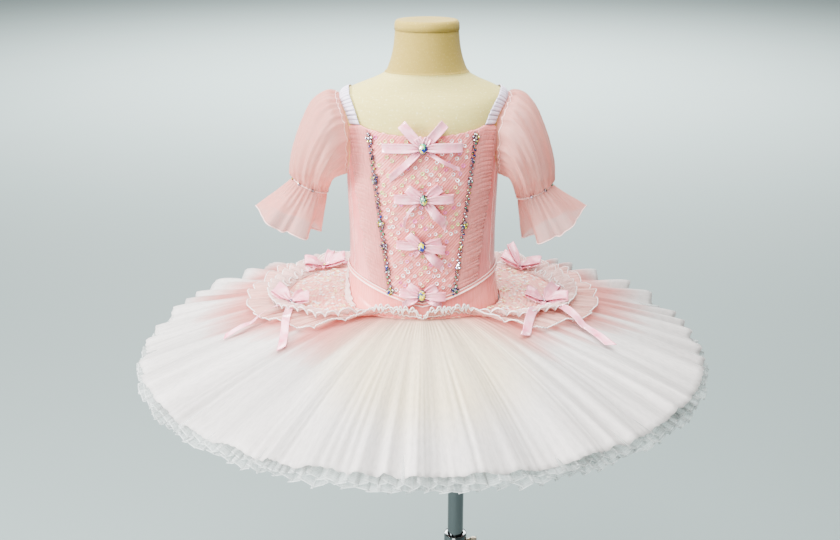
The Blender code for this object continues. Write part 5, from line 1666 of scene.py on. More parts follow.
@dataclass
class Skirt:
    """The tutu plate: a dyed top layer in knife pleats over stiff open net in crinkled ruffles."""

    columns: int = 960
    pleats: int = 48
    turned_under: float = 0.24  # share of a pleat that folds back
    fine_folds: int = 190

    def top(self) -> None:
        """The top layer: pleats of uneven width, finer folds between, and gathers at its root."""
        angle, share, radius = TOP_NET.grid(self.columns, np.linspace(1, 0, 34))
        turn, under = np.radians(angle), self.turned_under
        place = angle / 360 * self.pleats + 0.35 * np.sin(turn * 7 + 1) + 0.22 * np.sin(turn * 17 + 2)
        step = place % 1
        knife = np.where(step < under, -1 + 2 * step / under, 1 - 2 * (step - under) / (1 - under))
        pleat = TOP_NET.pleat(radius) * np.tanh(knife * 1.3) * (1 + 0.7 * ramp(radius, 0.27, 0.37))
        behind = ramp(-np.cos(turn), 0, 0.7) * ramp(radius, 0.31, TOP_NET.hem)
        pleat = pleat + behind * (0.005 + 0.0085 * np.tanh(knife * 1.6))
        small = np.sin(math.tau * (place * 4 + 0.8 * np.sin(turn * 23 + 5) + 0.5 * np.sin(turn * 41)))
        small = 0.0011 * (small * (0.6 + 0.4 * np.sin(turn * 31 + 3))) * ramp(radius, 0.15, 0.32)
        gathers = np.sin(math.tau * (self.fine_folds * angle / 360 + 0.9 * np.sin(turn * 13)))
        gathers = 0.0004 * gathers * (1 - ramp(radius, 0.12, 0.19)) * ramp(radius, 0.1, 0.118)
        swell = 0.003 * np.sin(turn * 11 + 0.7) * np.sin(turn * 5 + 0.2) * ramp(radius, 0.22, 0.4)
        z = TOP_NET.z(radius) + pleat + small + gathers + swell
        reach = 1 + ramp(share, 0.75, 1) * (0.005 * np.tanh(knife * 2) + 0.0035 * np.sin(turn * 37 + 2)
                                            + 0.002 * np.sin(turn * 211 + 3 * np.sin(turn * 9)) - 0.003)
        reach = reach - 0.016 * behind * (1 - np.tanh(knife * 1.6))
        Cloth("skirt_top_net", plan(angle, radius * reach, z), SKIRT_NET, wall=0.0008, outward=-1,
              closed=True, held="gathered", replaces="skirt_top",
              rests_on=("basque_front_satin", "basque_back_satin", "skirt_middle_net")).build()

    def ruffled(self, layer: NetLayer, loops: int, seed: int, droop: float) -> None:
        """A net below, whose edge turns over itself in soft loops.

        Args:
            layer: The layer.
            loops: Loops round its hem.
            seed: Which uneven waves.
            droop: How far its edge hangs below the layer's own fall.
        """
        angle, share, radius = layer.grid(loops * 8, np.linspace(1, 0, 13) ** 0.75)
        turn = np.radians(angle)
        phase = math.tau * (angle / 360 * loops + 0.45 * np.sin(turn * 5 + seed) + 0.3 * np.sin(turn * 13))
        edge = ramp(radius, 0.2, layer.hem)
        size = 0.75 + 0.3 * np.sin(turn * 9 + seed) + 0.25 * np.sin(turn * 23 + 2)
        fold_over = 360 / loops * 0.24 * edge * np.sin(phase * 2 + 0.6)
        z = layer.z(radius) + 0.0054 * size * edge * np.sin(phase) - droop * edge
        reach = 1 + 0.007 * edge * np.sin(turn * 29 + seed) * ramp(share, 0.7, 1)
        points = plan(angle + fold_over, radius * reach, z)
        Cloth(f"{layer.node}_net", points, UNDER_NET, wall=0.0006, outward=-1, closed=True, held="gathered",
              rests_on=("knickers_front_jersey", "knickers_back_jersey"), replaces=layer.node).build()

    def build(self) -> None:
        """Make the three layers."""
        self.top()
        self.ruffled(MIDDLE_NET, 118, 2, 0)
        self.ruffled(LOWER_NET, 108, 5, 0.002)


@dataclass
class Knickers:
    """Jersey knickers under the nets, with elastic round the legs."""

    top_z: float = 0.9062
    ease: float = 0.0013
    leg_ease: float = 0.0014
    gusset: tuple[float, float, float] = (0.03, 0.032, 0.037)  # half widths from its middle to the leg

    def half(self, node: str, facing: float, sign: float) -> None:
        """Front or back, from the gusset under the form to the top edge.

        Args:
            node: Its node.
            facing: Angle of its middle.
            sign: 1 for +Y, -1 for -Y.
        """
        angle, v = np.meshgrid(np.linspace(-89.9, 89.9, 61), np.linspace(0, 1, 17))
        z = between(LEG_LINE.at("z", np.abs(angle)), self.top_z, v)
        gather = 0.0004 * sin_of(angle * 32) * (1 - ramp(v, 0.03, 0.16))
        out = self.ease + self.leg_ease * (1 - v) ** 3 + np.maximum(gather, -0.0003)
        rests = {"wall": 0.001, "rests_on": ("dress_form_cover",)}
        Cloth(f"{node}_jersey", worn_point(facing + angle, z, out), JERSEY, replaces=node, **rests).build()
        leg = LEG_LINE.keys[0]
        u, w = grid(33, 17)
        edge = worn_point(facing + between(-leg, leg, u[0]), LEG_LINE.at("z", leg), self.ease + self.leg_ease)
        rows = [edge]
        for share in w[1:, 0]:
            depth = np.interp(share, [0, 0.1, 0.5, 1], [1, 0.9, 0.5, 0])
            half_width = np.interp(depth, [0, 0.5, 0.9, 1], [*self.gusset, abs(edge[-1, 0])])
            y = sign * max(abs(edge[16, 1]) * depth, SEAM / 2)
            flat = stack(-sign * between(-1, 1, u[0]) * half_width, y, UNDERSIDE_Z - EASE)
            drop = ramp(share, 0, 0.1)
            rows.append(between(edge * [1, 0, 1] + [0, y, 0], flat, drop) if drop < 1 else flat)
        Cloth(f"{node}_gusset", np.stack(rows[::-1]), JERSEY, **rests).build()

    def build(self) -> None:
        """Make the front and the back."""
        self.half("knickers_front", 0, -1)
        self.half("knickers_back", 180, 1)


# ---------------- overlay


def overlay_base(radius: Array) -> Array:
    """Lowest height at which cloth lies clear on the pleated top layer."""
    return TOP_NET.z(radius) + TOP_NET.pleat(radius) + SEAM


def overlay_root(angle: Array) -> Array:
    """Radius at which the lace panel starts at the hip."""
    return hip_radius(angle, WORN + 3 * SEAM)


def panel_edge(angle: Array) -> Array:
    """Radius of the lace panel's edge, where the ruffles are sewn on."""
    return np.maximum(OVERLAY.at("panel", np.abs(angle)), overlay_root(angle) + LEAST_PANEL)


@dataclass
class Overlay:
    """Lace panels on the hips, each edged with a white inner and a sheer outer ruffle."""

    columns: int = 561
    meet: float = 0.8  # angle at which the ruffles of both sides meet in front
    ruffle_rise: float = 0.0052  # of the outer ruffle's waves at its edge
    back_rise: float = 0.01  # how far it stands up behind the hips
    front_rise: float = 0.012  # and in front, where it is narrow
    front_waves: float = 38.0
    lobes: tuple[int, int] = (22, 34)  # of the outer and the inner ruffle
    rib_pitch: float = 0.0045  # of the fine pleats in the outer ruffle's front part
    rib_height: float = 0.0007

    def rows(self, side: int, start: float, columns: int, rows: int) -> tuple[Array, Array]:
        """Angles along one side from its start, always rising, and shares from the root to the edge."""
        angles = np.array([start, OVERLAY.keys[-1]])[::side] * side
        return np.meshgrid(np.linspace(*angles, columns), np.linspace(1, 0, rows))

    def panel(self, side: int, mark: str) -> None:
        """The lace panel, a little rucked where it follows the hip.

        Args:
            side: 1 for +X, -1 for -X.
            mark: right or left.
        """
        angle, share = self.rows(side, OVERLAY.keys[0], 141, 29)
        root, edge, turn = overlay_root(angle), panel_edge(angle), np.radians(angle)
        radius = between(root, edge, share)
        wide = ramp(edge - root, 0.01, 0.05)
        rows = radius / 0.0095 + 0.3 * np.sin(turn * radius / 0.009) + turn * 1.5
        rucks = 0.0013 * np.abs(np.sin(math.pi * rows)) * wide
        rucks = rucks + 0.0009 * wander(turn * radius / 0.018, 73 + side) * wide
        points = plan(angle, radius, overlay_base(radius) + 0.0012 * wide + np.maximum(rucks, -0.0012))
        Cloth(f"overlay_{mark}_lace", points, HIP_LACE, wall=0.0008, uv=stack(turn * 0.17, radius),
              held="laid", rests_on=("skirt_top_net",), replaces=f"overlay_{mark}").build()

    def outer_z(self, turn: Array, radius: Array, lobe: Array) -> Array:
        """Height of the outer ruffle: flat at its root, rising in rounded lobes to its edge.

        Args:
            turn: Angle from centre front, either way.
            radius: Distance from the skirt's centre.
            lobe: How far a lobe rises there, 0 to 1.

        Returns:
            The height.
        """
        root, edge = OVERLAY.at("panel", turn), OVERLAY.at("outer", turn)
        share = np.clip((radius - root) / (edge - root), 0, 1)
        depth = np.minimum(self.ruffle_rise, (edge - root) * OUTER_SLOPE * 1.4)
        stand = self.back_rise * ramp(turn, 95, 140) * (1 - ramp(turn, 158, 174)) * share ** 1.5
        bend = np.radians(turn)
        gathered = 0.55 + 0.55 * np.abs(np.sin(bend * self.front_waves + np.sin(bend * 21)))
        stand = stand + self.front_rise * (1 - ramp(turn, 34, 50)) * ramp(turn, 0, 9) * share * gathered
        return overlay_base(radius) + SHEER + SEAM + share * depth * 2 * lobe + stand

    def ruffle(self, side: int, mark: str, kind: str) -> None:
        """One ruffle and the thread over its edge.

        Args:
            side: 1 for +X, -1 for -X.
            mark: right or left.
            kind: outer or inner.
        """
        inner = kind == "inner"
        angle, share = self.rows(side, self.meet, self.columns, 13)
        turn = np.abs(angle)
        seed = 81 if side > 0 else 87
        run = (turn - self.meet) / (OVERLAY.keys[-1] - self.meet)
        root = panel_edge(angle)
        full = np.maximum(OVERLAY.at(kind, turn), root + LEAST_RUFFLE)
        phase = math.pi * (self.lobes[inner] * run + 0.5 * np.sin(run * 19 + seed) + 0.25 * np.sin(run * 43))
        lobe = np.abs(np.sin(phase + 0.35 * np.sin(2 * phase))) ** 0.7
        size = 0.75 + 0.25 * np.sin(run * 57 + seed)
        scallop = 1 + share * size * (0.16 * lobe - 0.11)
        radius = root - RUFFLE_LAP + (full - root + RUFFLE_LAP) * share * scallop
        z = self.outer_z(turn, radius, lobe * size)
        fold = (0.35 if inner else 0.7) * share * np.sin(2 * phase + 0.6) * size
        wide = ramp(full - root, 0.008, 0.02)
        if inner:
            lift = np.minimum(INNER_LIFT, np.maximum(radius - root, 0) * INNER_SLOPE)
            crumple = wander(phase / 2.2 + radius / 0.021, seed + 3)
            crumple = 0.0026 * (1 + crumple * wander(radius / 0.013 - phase / 5, seed + 4))
            z = z + FINE + SEAM + share * lift * (1.6 + 1.2 * lobe) \
                + wide * (0.0036 * share ** 0.6 * lobe + crumple * np.sin(math.pi * share) ** 0.5)
        else:
            along = np.cumsum(np.hypot(np.gradient(radius[0]), radius[0] * np.radians(np.gradient(angle[0]))))
            ribs = np.sin(math.tau * along / self.rib_pitch) * (1 - ramp(turn, 48, 60)) * ramp(turn, 16, 24)
            z = z + self.rib_height * (1 + ribs) * ramp(share, 0.1, 0.4)
        points = plan(angle + fold * side, radius, z)
        name = f"ruffle_{kind}_{mark}"
        Cloth(f"{name}_organza", points, WHITE_ORGANZA if inner else RUFFLE_ORGANZA, wall=0.0004,
              held="gathered", rests_on=(f"overlay_{mark}_lace",), replaces=name).build()
        threads = Heap()
        wobble = stack(0, 0, 0.0003 * np.sin(run[0] * 2600))
        threads.add(*sweep(points[0] + wobble, 0.001 if inner else 0.0009, 6))
        if inner:
            squiggle = 0.0044 * wander(phase[0] / 2.6, seed + 9)[:, None] * unit(points[7] - points[12])
            raised = stack(0, 0, 0.0016 * (1 + wander(phase[0] / 1.9, seed + 8)))
            threads.add(*sweep(points[9] + wide[0][:, None] * (squiggle + raised), 0.0011, 6))
        threads.build(f"{name}_edge", WHITE_THREAD)

    def build(self) -> None:
        """Make both sides."""
        for side in SIDES:
            self.panel(*side)
            self.ruffle(*side, "outer")
            self.ruffle(*side, "inner")


# ---------------- bows


@dataclass(frozen=True)
class Arm:
    """A loop or a tail of a bow: its direction in degrees, length in mm, share of the ribbon's width,
    height at its end in mm, and how far it bends, in degrees."""

    direction: float
    length: float
    width: float = 1.0
    lift: float = 0.0
    bend: float = 0.0


class Ground(Enum):
    """What a bow lies on."""

    PLASTRON = "plastron_lace"
    HIP = "skirt_top_net"


@dataclass(frozen=True)
class Bow:
    """A ribbon bow: where it sits, its knot and its arms."""

    ground: Ground
    node: str
    across: float
    up: float
    knot: float
    loops: tuple[Arm, ...]
    tails: tuple[Arm, ...]
    gem: float  # half width of its crystal
    hues: tuple[float, ...]  # of the crystal's facets, from the right by way of the top; the white, grey and dark ones are painted glints and reflections


# places on the crystals' colour stops: white, grey and dark are painted glints and reflections, the rest the
# coating's tints
WHITE, GREY, DARK, YELLOW, GREEN, MAUVE, BLUE, CREAM = 0.05, 0.22, 0.38, 0.5, 0.6, 0.7, 0.9, 0.97
BOWS = (
    Bow(Ground.PLASTRON, "bow_front_1", 0.0005, 1.144, 0.0055,
        each(Arm, (181, 52), (0, 50), (133, 40), (47, 41), (118, 15, 0.8, 4), (62, 14, 0.8, 4)),
        each(Arm, (224, 64, 0.75), (321, 58, 0.42, 0, 8)), 0.0056,
        (GREEN, GREEN, YELLOW, WHITE, GREY, YELLOW, YELLOW, BLUE, BLUE, BLUE, DARK, GREEN)),
    Bow(Ground.PLASTRON, "bow_front_2", 0.0015, 1.076, 0.0052,
        each(Arm, (178, 38), (2, 38), (143, 26), (38, 27)),
        each(Arm, (205, 50, 0.34, 0, 34), (308, 54)), 0.0054,
        (DARK, GREEN, WHITE, GREEN, DARK, GREY, GREEN, YELLOW, CREAM, YELLOW, DARK, GREEN)),
    Bow(Ground.PLASTRON, "bow_front_3", -0.001, 1.01, 0.005,
        each(Arm, (176, 33), (350, 31), (137, 24), (14, 26)), each(Arm, (232, 20, 0.7), (312, 48)), 0.0052,
        (YELLOW, YELLOW, YELLOW, WHITE, YELLOW, BLUE, BLUE, BLUE, BLUE, BLUE, BLUE, YELLOW)),
    Bow(Ground.PLASTRON, "bow_front_4", -0.001, 0.94, 0.005,
        each(Arm, (172, 29), (356, 31), (141, 22), (30, 22)),
        each(Arm, (209, 34, 0.8), (333, 34, 0.9)), 0.0054,
        (YELLOW, MAUVE, BLUE, MAUVE, GREEN, YELLOW, YELLOW, CREAM, YELLOW, YELLOW, WHITE, YELLOW)),
    Bow(Ground.HIP, "bow_skirt_front_left", -80, 0.19, 0.0045,
        each(Arm, (305, 36, 1.35, 9), (170, 26, 1, 3), (222, 28, 1, 5)),
        each(Arm, (24, 108, 0.6), (80, 130, 0.95)), 0.0034, (DARK, BLUE, DARK, MAUVE, WHITE, DARK)),
    Bow(Ground.HIP, "bow_skirt_back_left", -133, 0.21, 0.0045,
        each(Arm, (48, 31, 1, 5), (225, 32, 1, 7), (292, 26, 1, 12)),
        each(Arm, (75, 40, 0.8), (250, 46, 0.8)), 0.003, (YELLOW, DARK, YELLOW, CREAM, YELLOW, GREEN)),
    Bow(Ground.HIP, "bow_skirt_front_right", 81, 0.176, 0.0045,
        each(Arm, (66, 38, 1.3, 12), (2, 34, 0.9, 3), (168, 27, 1.1, 4)),
        each(Arm, (319, 132), (257, 122, 1, 0, 4)), 0.0034, (DARK, WHITE, DARK, DARK, MAUVE, WHITE)),
    Bow(Ground.HIP, "bow_skirt_back_right", 132, 0.208, 0.0045,
        each(Arm, (100, 34, 1, 7), (78, 30, 1, 24), (300, 32, 1, 7)),
        each(Arm, (335, 44, 0.7), (30, 48, 0.8)), 0.003, (DARK, DARK, GREY, DARK, DARK, WHITE)))


@dataclass
class Bows:
    """Ribbon bows: folded loops, cut tails, a wrapped knot and a claw-set crystal."""

    ribbon_wall: float = 0.0005
    climb: tuple[float, float, float, float] = (0.0024, 0.004, 0.0046, 0.02)  # start, middle, end, fall
    facing: float = 0.8  # how far the hip bows' loops lean to the front
    piping_lift: float = 0.0027
    frill_lift: float = 0.0026

    def place(self, bow: Bow, along: Array, beside: Array, rise: Array) -> Points:
        """Places over what a bow lies on.

        Args:
            bow: The bow.
            along: Metres across from its middle, or outward from it at the hip.
            beside: Metres up from its middle, or onward round the hip.
            rise: Height over the cloth.

        Returns:
            The points.
        """
        if bow.ground is Ground.PLASTRON:
            x, z = bow.across + along, bow.up + beside
            lift = self.piping_lift if bow.up < WAIST_Z else 0
            edge = plastron_half(z)
            over = self.frill_lift * ramp(np.abs(x), edge - RIBBON, edge + RIBBON / 6)
            return worn_point(angle_at(x, z), z, WORN + lift + over + rise)
        centre = plan(bow.across, bow.up, 0)
        outward = unit(centre)
        onward = np.array([-outward[1], outward[0], 0])
        spot = centre + outward * np.asarray(along)[..., None] + onward * np.asarray(beside)[..., None]
        x, y = spot[..., 0], spot[..., 1]
        radius, angle = np.hypot(x, y), np.degrees(np.arctan2(np.abs(x), -y))
        panel, edge = OVERLAY.at("panel", angle), OVERLAY.at("outer", angle)
        share = np.clip((radius - panel) / (edge - panel), 0, 1)
        start, middle, end, fall = self.climb
        climb = start * ramp(radius, panel - RIBBON, panel) + end * share + middle * np.sin(math.pi * share)
        climb = climb * (1 - ramp(radius, edge, edge + fall))
        return stack(x, y, overlay_base(radius) + SHEER + 0.001 + climb + rise)

    def strip(self, bow: Bow, arm: Arm, run: Array, rise: Array, half: Array, lean: Array, cup: float,
              lift: float) -> Points:
        """A ribbon along an arm.

        Args:
            bow: The bow.
            arm: Its direction and length.
            run: Distance out along the arm, in metres, at each station.
            rise: Height of the ribbon's middle there.
            half: Half its width there.
            lean: Tilt across it there, as a slope.
            cup: How much its edges turn up.
            lift: Height added to the whole.

        Returns:
            Rows of points, one row a station.
        """
        side = ACROSS[None]
        turn = np.radians(arm.direction + arm.bend * run / (arm.length * MM))[:, None]
        run, rise, half, lean = (value[:, None] for value in (run, rise, half, lean))
        beside = half * side
        pulled = 0.0012 * np.cos(2.5 * math.pi * side) * (1 - ramp(run, 0.003, 0.02))
        height = rise + beside * lean + cup * half * (side ** 2 - 0.4) + lift + pulled
        x = run * np.cos(turn) - beside * np.sin(turn)
        y = run * np.sin(turn) + beside * np.cos(turn)
        return self.place(bow, x, y, np.maximum(height, 0.0006))

    def tilt(self, bow: Bow, arm: Arm) -> float:
        """Slope of an arm that shows its face to the front."""
        return self.facing * math.sin(math.radians(arm.direction + bow.across))

    def loop(self, bow: Bow, arm: Arm, order: int) -> Points:
        """A loop: out low, round its end in a soft fold, and back above.

        Args:
            bow: The bow.
            arm: Its direction and size.
            order: Its place among the bow's own.

        Returns:
            Rows of points.
        """
        share = np.linspace(0, 1, 33)
        arch, length = np.sin(math.pi * share), arm.length * MM
        run = length * arch ** 0.62
        puff = min(0.0085, 0.2 * length + 0.002)
        rise = 0.0012 + (puff * (1 - np.cos(math.pi * share)) / 2) * (0.55 + 0.45 * arch)
        rise = rise + arm.lift * MM * run / length
        near = ramp(run, 0, min(0.016, length * 0.55))
        half = between(0.0026, RIBBON / 2 * arm.width, near)
        lean = 0.1 * arch * (1 if order % 2 else -1) + 0.12 * (share - 0.5)
        if bow.ground is Ground.HIP:
            tilt = self.tilt(bow, arm) * near
            lean, rise = lean + tilt, rise + np.abs(tilt) * half
        return self.strip(bow, arm, run, rise, half, lean, 0.26, 0.0006 * (order % 3))

    def tail(self, bow: Bow, arm: Arm, order: int) -> Points:
        """A tail: it leaves the knot narrow, rolls a little, and ends in a slanting cut.

        Args:
            bow: The bow.
            arm: Its direction and size.
            order: Its place among the bow's own.

        Returns:
            Rows of points.
        """
        share = np.linspace(0, 1, 37)
        run = arm.length * MM * share
        half = between(0.0022, RIBBON / 2 * arm.width, ramp(run, 0, 0.013))
        roll = 0.55 * np.sin(math.pi * share * 1.6 + order * 1.9) * ramp(share, 0.1, 0.4)
        if bow.ground is Ground.HIP:
            roll = between(roll, 0.8 * self.tilt(bow, arm), ramp(share, 0.45, 0.85))
        rise = 0.0016 + 0.0022 * np.sin(math.pi * share) ** 2 + np.abs(roll) * half * 0.8 \
            + 0.0009 * np.sin(share * 11 + order * 2)
        points = self.strip(bow, arm, run, rise, half * (1 - 0.12 * np.abs(roll)), roll, 0.08, 0)
        slant = 0.5 * (1 + ACROSS * (1 if order % 2 else -1)) * RIBBON * 0.9 * arm.width
        along = ramp(share, 0.75, 1)[:, None] * slant
        return points - unit(np.gradient(points, axis=0)) * along[..., None]

    def knot(self, bow: Bow) -> Points:
        """The ribbon wrapped round the middle."""
        turn, side = np.meshgrid(math.pi * np.linspace(0, 1, 17), np.linspace(-1, 1, 9), indexing="ij")
        rise = 0.0006 + 0.0056 * np.sin(turn) ** 0.7 * (1 - 0.1 * side ** 2) + 0.0003 * np.cos(side * 9)
        return self.place(bow, bow.knot * 0.75 * side, bow.knot * 1.05 * np.cos(turn), rise)

    def gem(self, bow: Bow) -> None:
        """The crystal on the knot, in its claw setting."""
        plastron = bow.ground is Ground.PLASTRON
        spots = self.place(bow, np.array([0, 0.001, 0]), np.array([0, 0, 0.001]), 0.0062)
        first, second = unit(spots[1] - spots[0]), unit(spots[2] - spots[0])
        normal = unit(np.cross(first, second))
        normal = normal if normal[2] > 0 or plastron else -normal
        frame = np.stack([first, second, normal])
        long = 1.32 if plastron else 1
        facets = np.concatenate([np.roll(np.resize(bow.hues, 12), band * 2) for band in range(5)])
        stones, claws = Heap(), Heap()
        stones.place(CUT_STONE, spots[0] + normal * 0.0004, frame, bow.gem * np.array([0.92, long, 0.62]),
                     facets)
        stones.build(f"{bow.node}_crystal", CUT_CRYSTAL, smooth=False)
        claws.place(SETTING_RING, spots[0], frame, bow.gem * np.array([1, long * 1.05, 0.5]))
        for degrees in (45, 135, 225, 315):
            t = math.radians(degrees)
            claw = (first * math.cos(t) * 0.86 + second * math.sin(t) * long * 0.9) * bow.gem
            claws.place(BEAD, spots[0] + claw + normal * 0.001, frame, 0.0007)
        claws.build(f"{bow.node}_setting", SETTING)

    def bow(self, bow: Bow) -> None:
        """One bow: every ribbon as one piece, then its crystal."""
        grids = [self.loop(bow, arm, i) for i, arm in enumerate(bow.loops)]
        grids += [self.tail(bow, arm, i) for i, arm in enumerate(bow.tails)]
        grids.append(self.knot(bow))
        faces, start, length, area = [], 0, 0.0, 0.0
        for rows in grids:
            faces.append(grid_faces(rows) + start)
            start += rows.shape[0] * rows.shape[1]
            run = float(steps(rows[:, rows.shape[1] // 2], 0).sum())
            length += run
            area += run * float(steps(rows, 1).sum(axis=1).mean())
        piece = add_mesh(f"{bow.node}_ribbon", np.concatenate([rows.reshape(-1, 3) for rows in grids]),
                         np.concatenate(faces), RIBBON_SATIN,
                         np.concatenate([grid_uv(cloth_uv(rows)[..., ::-1]) for rows in grids]))
        solid = piece.modifiers.new("wall", "SOLIDIFY")
        solid.thickness, solid.offset, solid.use_even_offset = self.ribbon_wall, 0, False
        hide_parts(bow.node)
        area = float(np.clip(area, 0.31 * length * RIBBON, length * RIBBON))
        LOG.info("%s: %.0f mm of ribbon", bow.node, length / MM)
        self.gem(bow)

    def build(self) -> None:
        """Make the eight bows."""
        for bow in BOWS:
            self.bow(bow)


# ---------------- crystals and sequins


CUT_STONE = lathe_shape([(0, 1), (0.52, 0.98), (0.86, 0.62), (1, 0.2), (0.9, -0.1), (0, -0.2)], 12)
SMALL_STONE = lathe_shape([(0, 0.85), (0.5, 0.8), (1, 0.15), (0.8, -0.2), (0, -0.2)], 8)
PETAL = lathe_shape([(0, 0.75), (0.45, 0.68), (1, 0.1), (0.8, -0.2), (0, -0.2)], 6)
BEAD = lathe_shape([(0, 1), (0.7, 0.7), (1, 0), (0.7, -0.7), (0, -1)], 6)
SETTING_RING = lathe_shape([(0, -0.35), (0.9, -0.35), (1.12, -0.1), (1.16, 0.35), (1.02, 0.5), (0.92, 0.3),
                            (0.6, 0), (0, 0)], 10)


def spoke(frame: Points, degrees: float) -> Points:
    """A direction in the plane of a frame's first two axes."""
    turn = math.radians(degrees)
    return frame[0] * math.cos(turn) + frame[1] * math.sin(turn)


class Jewels:
    """Stones and their claw settings, gathered into two pieces."""

    def __init__(self) -> None:
        """Start with none."""
        self.stones, self.claws = Heap(), Heap()

    def add(self, at: Points, frame: Points, size: float, ring: float, hue: float, lift: float = 0.0,
            sunk: float = 0.0, shape: tuple[Points, list] = SMALL_STONE) -> None:
        """Set one stone.

        Args:
            at: Its place.
            frame: Its axes, the third one pointing out.
            size: Half its width.
            ring: Half the width of its setting.
            hue: The number its material reads.
            lift: Height of the stone over its place.
            sunk: Height of its setting over its place.
            shape: Its cut.
        """
        self.stones.place(shape, at + frame[2] * lift, frame, size, hue)
        self.claws.place(SETTING_RING, at + frame[2] * sunk, frame, ring)

    def build(self, stones: str, settings: str) -> None:
        """Make both pieces."""
        self.stones.build(stones, CRYSTAL, smooth=False)
        self.claws.build(settings, SETTING)


class Cluster(Enum):
    """What is set in the chain at a station."""

    FLOWER = "flower"
    TRIO = "trio"
    SINGLE = "single"


FLOWER, TRIO, SINGLE = Cluster


@dataclass
class CrystalChains:
    """Chains of claw-set stones down both edges of the plastron, with small stone flowers."""

    pitch: float = 0.0041
    stone: float = 0.0017
    sway: float = 0.0013
    petals: float = 0.0042
    # share up the chain, what is set there, hue of its centre
    left: tuple[tuple[float, Cluster, float], ...] = (
        (0.965, FLOWER, 0.44), (0.85, SINGLE, 0.9), (0.735, FLOWER, 0.42), (0.715, TRIO, 0.44),
        (0.585, SINGLE, 0.56), (0.455, FLOWER, 0.56), (0.315, FLOWER, 0.57), (0.185, SINGLE, 0.58),
        (0.16, TRIO, 0.35), (0.035, FLOWER, 0.45))
    right: tuple[tuple[float, Cluster, float], ...] = (
        (0.97, FLOWER, 0.46), (0.835, SINGLE, 0.45), (0.72, TRIO, 0.46), (0.58, SINGLE, 0.47),
        (0.445, FLOWER, 0.44), (0.31, SINGLE, 0.46), (0.185, TRIO, 0.56), (0.04, FLOWER, 0.57))

    def spot(self, side: int, share: float, off: float = 0.0) -> tuple[Points, Points]:
        """A place on the chain and the axes there: across, along and out.

        Args:
            side: 1 for +X, -1 for -X.
            share: Share of the way up the chain.
            off: How far beside its line.

        Returns:
            The place and the axes, one a row.
        """
        def worn(z: Array, out: float) -> Points:
            """A point of the chain's line at height z, moved out."""
            return worn_point(angle_at(side * (plastron_half(z) + 0.0012) + off, z), z, out)
        z = np.array([between(PLASTRON_WAIST_Z + 0.001, PLASTRON_TOP_Z + 0.002, share)])
        at = WORN + 0.0014
        ends = worn(z + np.array([-0.001, 0.001]), at)
        along = unit(ends[1] - ends[0])
        out = unit(worn(z, 0.01)[0] - worn(z, 0)[0])
        return worn(z, at)[0], np.stack([unit(np.cross(along, out)), along, out])

    def flower(self, jewels: Jewels, at: Points, frame: Points, hue: float, seed: int) -> None:
        """Five pale petals round a coloured centre."""
        turns = uneven(6, seed, -14, 14)
        for k in range(5):
            petal = at + spoke(frame, 90 + 72 * k + turns[k]) * self.petals
            tint = 0.02 if (k + seed) % 3 else 0.7
            jewels.add(petal, frame, 0.0021, 0.0019, tint, sunk=-0.0004, shape=PETAL)
        jewels.add(at, frame, 0.0021, 0.0019, hue, 0.0008, 0.0003)

    def chain(self, side: int, mark: str) -> None:
        """One chain.

        Args:
            side: 1 for +X, -1 for -X.
            mark: right or left.
        """
        jewels, size = Jewels(), self.stone
        count = int((PLASTRON_TOP_Z - PLASTRON_WAIST_Z) * 1.02 / self.pitch)
        hues = uneven(count, 91 + side, 0, 0.36)
        for k in range(count):
            at, frame = self.spot(side, (k + 0.5) / count, self.sway if k % 2 else -self.sway)
            jewels.add(at, frame, size, size * 1.05, hues[k], 0.0004)
            for degrees in (35, 145, 215, 325):
                bead = at + spoke(frame, degrees) * size * 1.12
                jewels.claws.place(BEAD, bead + frame[2] * 0.0006, frame, 0.00048)
        for index, (share, kind, hue) in enumerate(self.left if side < 0 else self.right):
            at, frame = self.spot(side, share)
            at = at + frame[2] * 0.0013
            if kind is FLOWER:
                self.flower(jewels, at, frame, hue, index + side)
            elif kind is TRIO:
                for degrees in (90, 210, 330):
                    jewels.add(at + spoke(frame, degrees) * 0.0026, frame, 0.0021, 0.002, hue, sunk=-0.0005)
            else:
                jewels.add(at, frame, 0.0023, 0.0022, hue, sunk=-0.0005)
        jewels.build(f"chain_{mark}_stones", f"chain_{mark}_settings")

    def cuffs(self) -> None:
        """Small crystals stitched along the front of each cuff's elastic."""
        sleeves, jewels, cuff = Sleeves(), Jewels(), np.full(2, 6)
        for side, _ in SIDES:
            for turn, hue in ((22, 0.44), (58, 0.44), (104, 0.56)):
                inner, outer = (sleeves.ring_points(SLEEVE, cuff, np.array([turn, turn + 1]), side, 0, out)[0]
                                for out in (0, 0.0026))
                jewels.add(outer, axes(outer - inner), 0.0022, 0.0022, hue, 0.0004)
        jewels.build("cuff_crystals", "cuff_settings")

    def build(self) -> None:
        """Make both chains and the stones on the cuffs."""
        for side in SIDES:
            self.chain(*side)
        self.cuffs()


def cup(sides: int = 10) -> tuple[Points, list]:
    """A cupped ring with a round hole, of unit radius."""
    section = np.array([(0.55, 0.02), (0.76, 0.05), (0.98, 0.28), (1, 0.22), (0.78, -0.03), (0.57, -0.06)])
    turn = math.tau * np.arange(sides)[:, None] / sides
    points = stack(section[:, 0] * np.cos(turn), section[:, 0] * np.sin(turn), section[:, 1])
    k, i = cells(sides, 6)
    beyond, after = (k + 1) % sides * 6, (i + 1) % 6
    faces = np.stack([k * 6 + i, beyond + i, beyond + after, k * 6 + after], axis=-1)
    return points, faces.reshape(-1, 4).tolist()


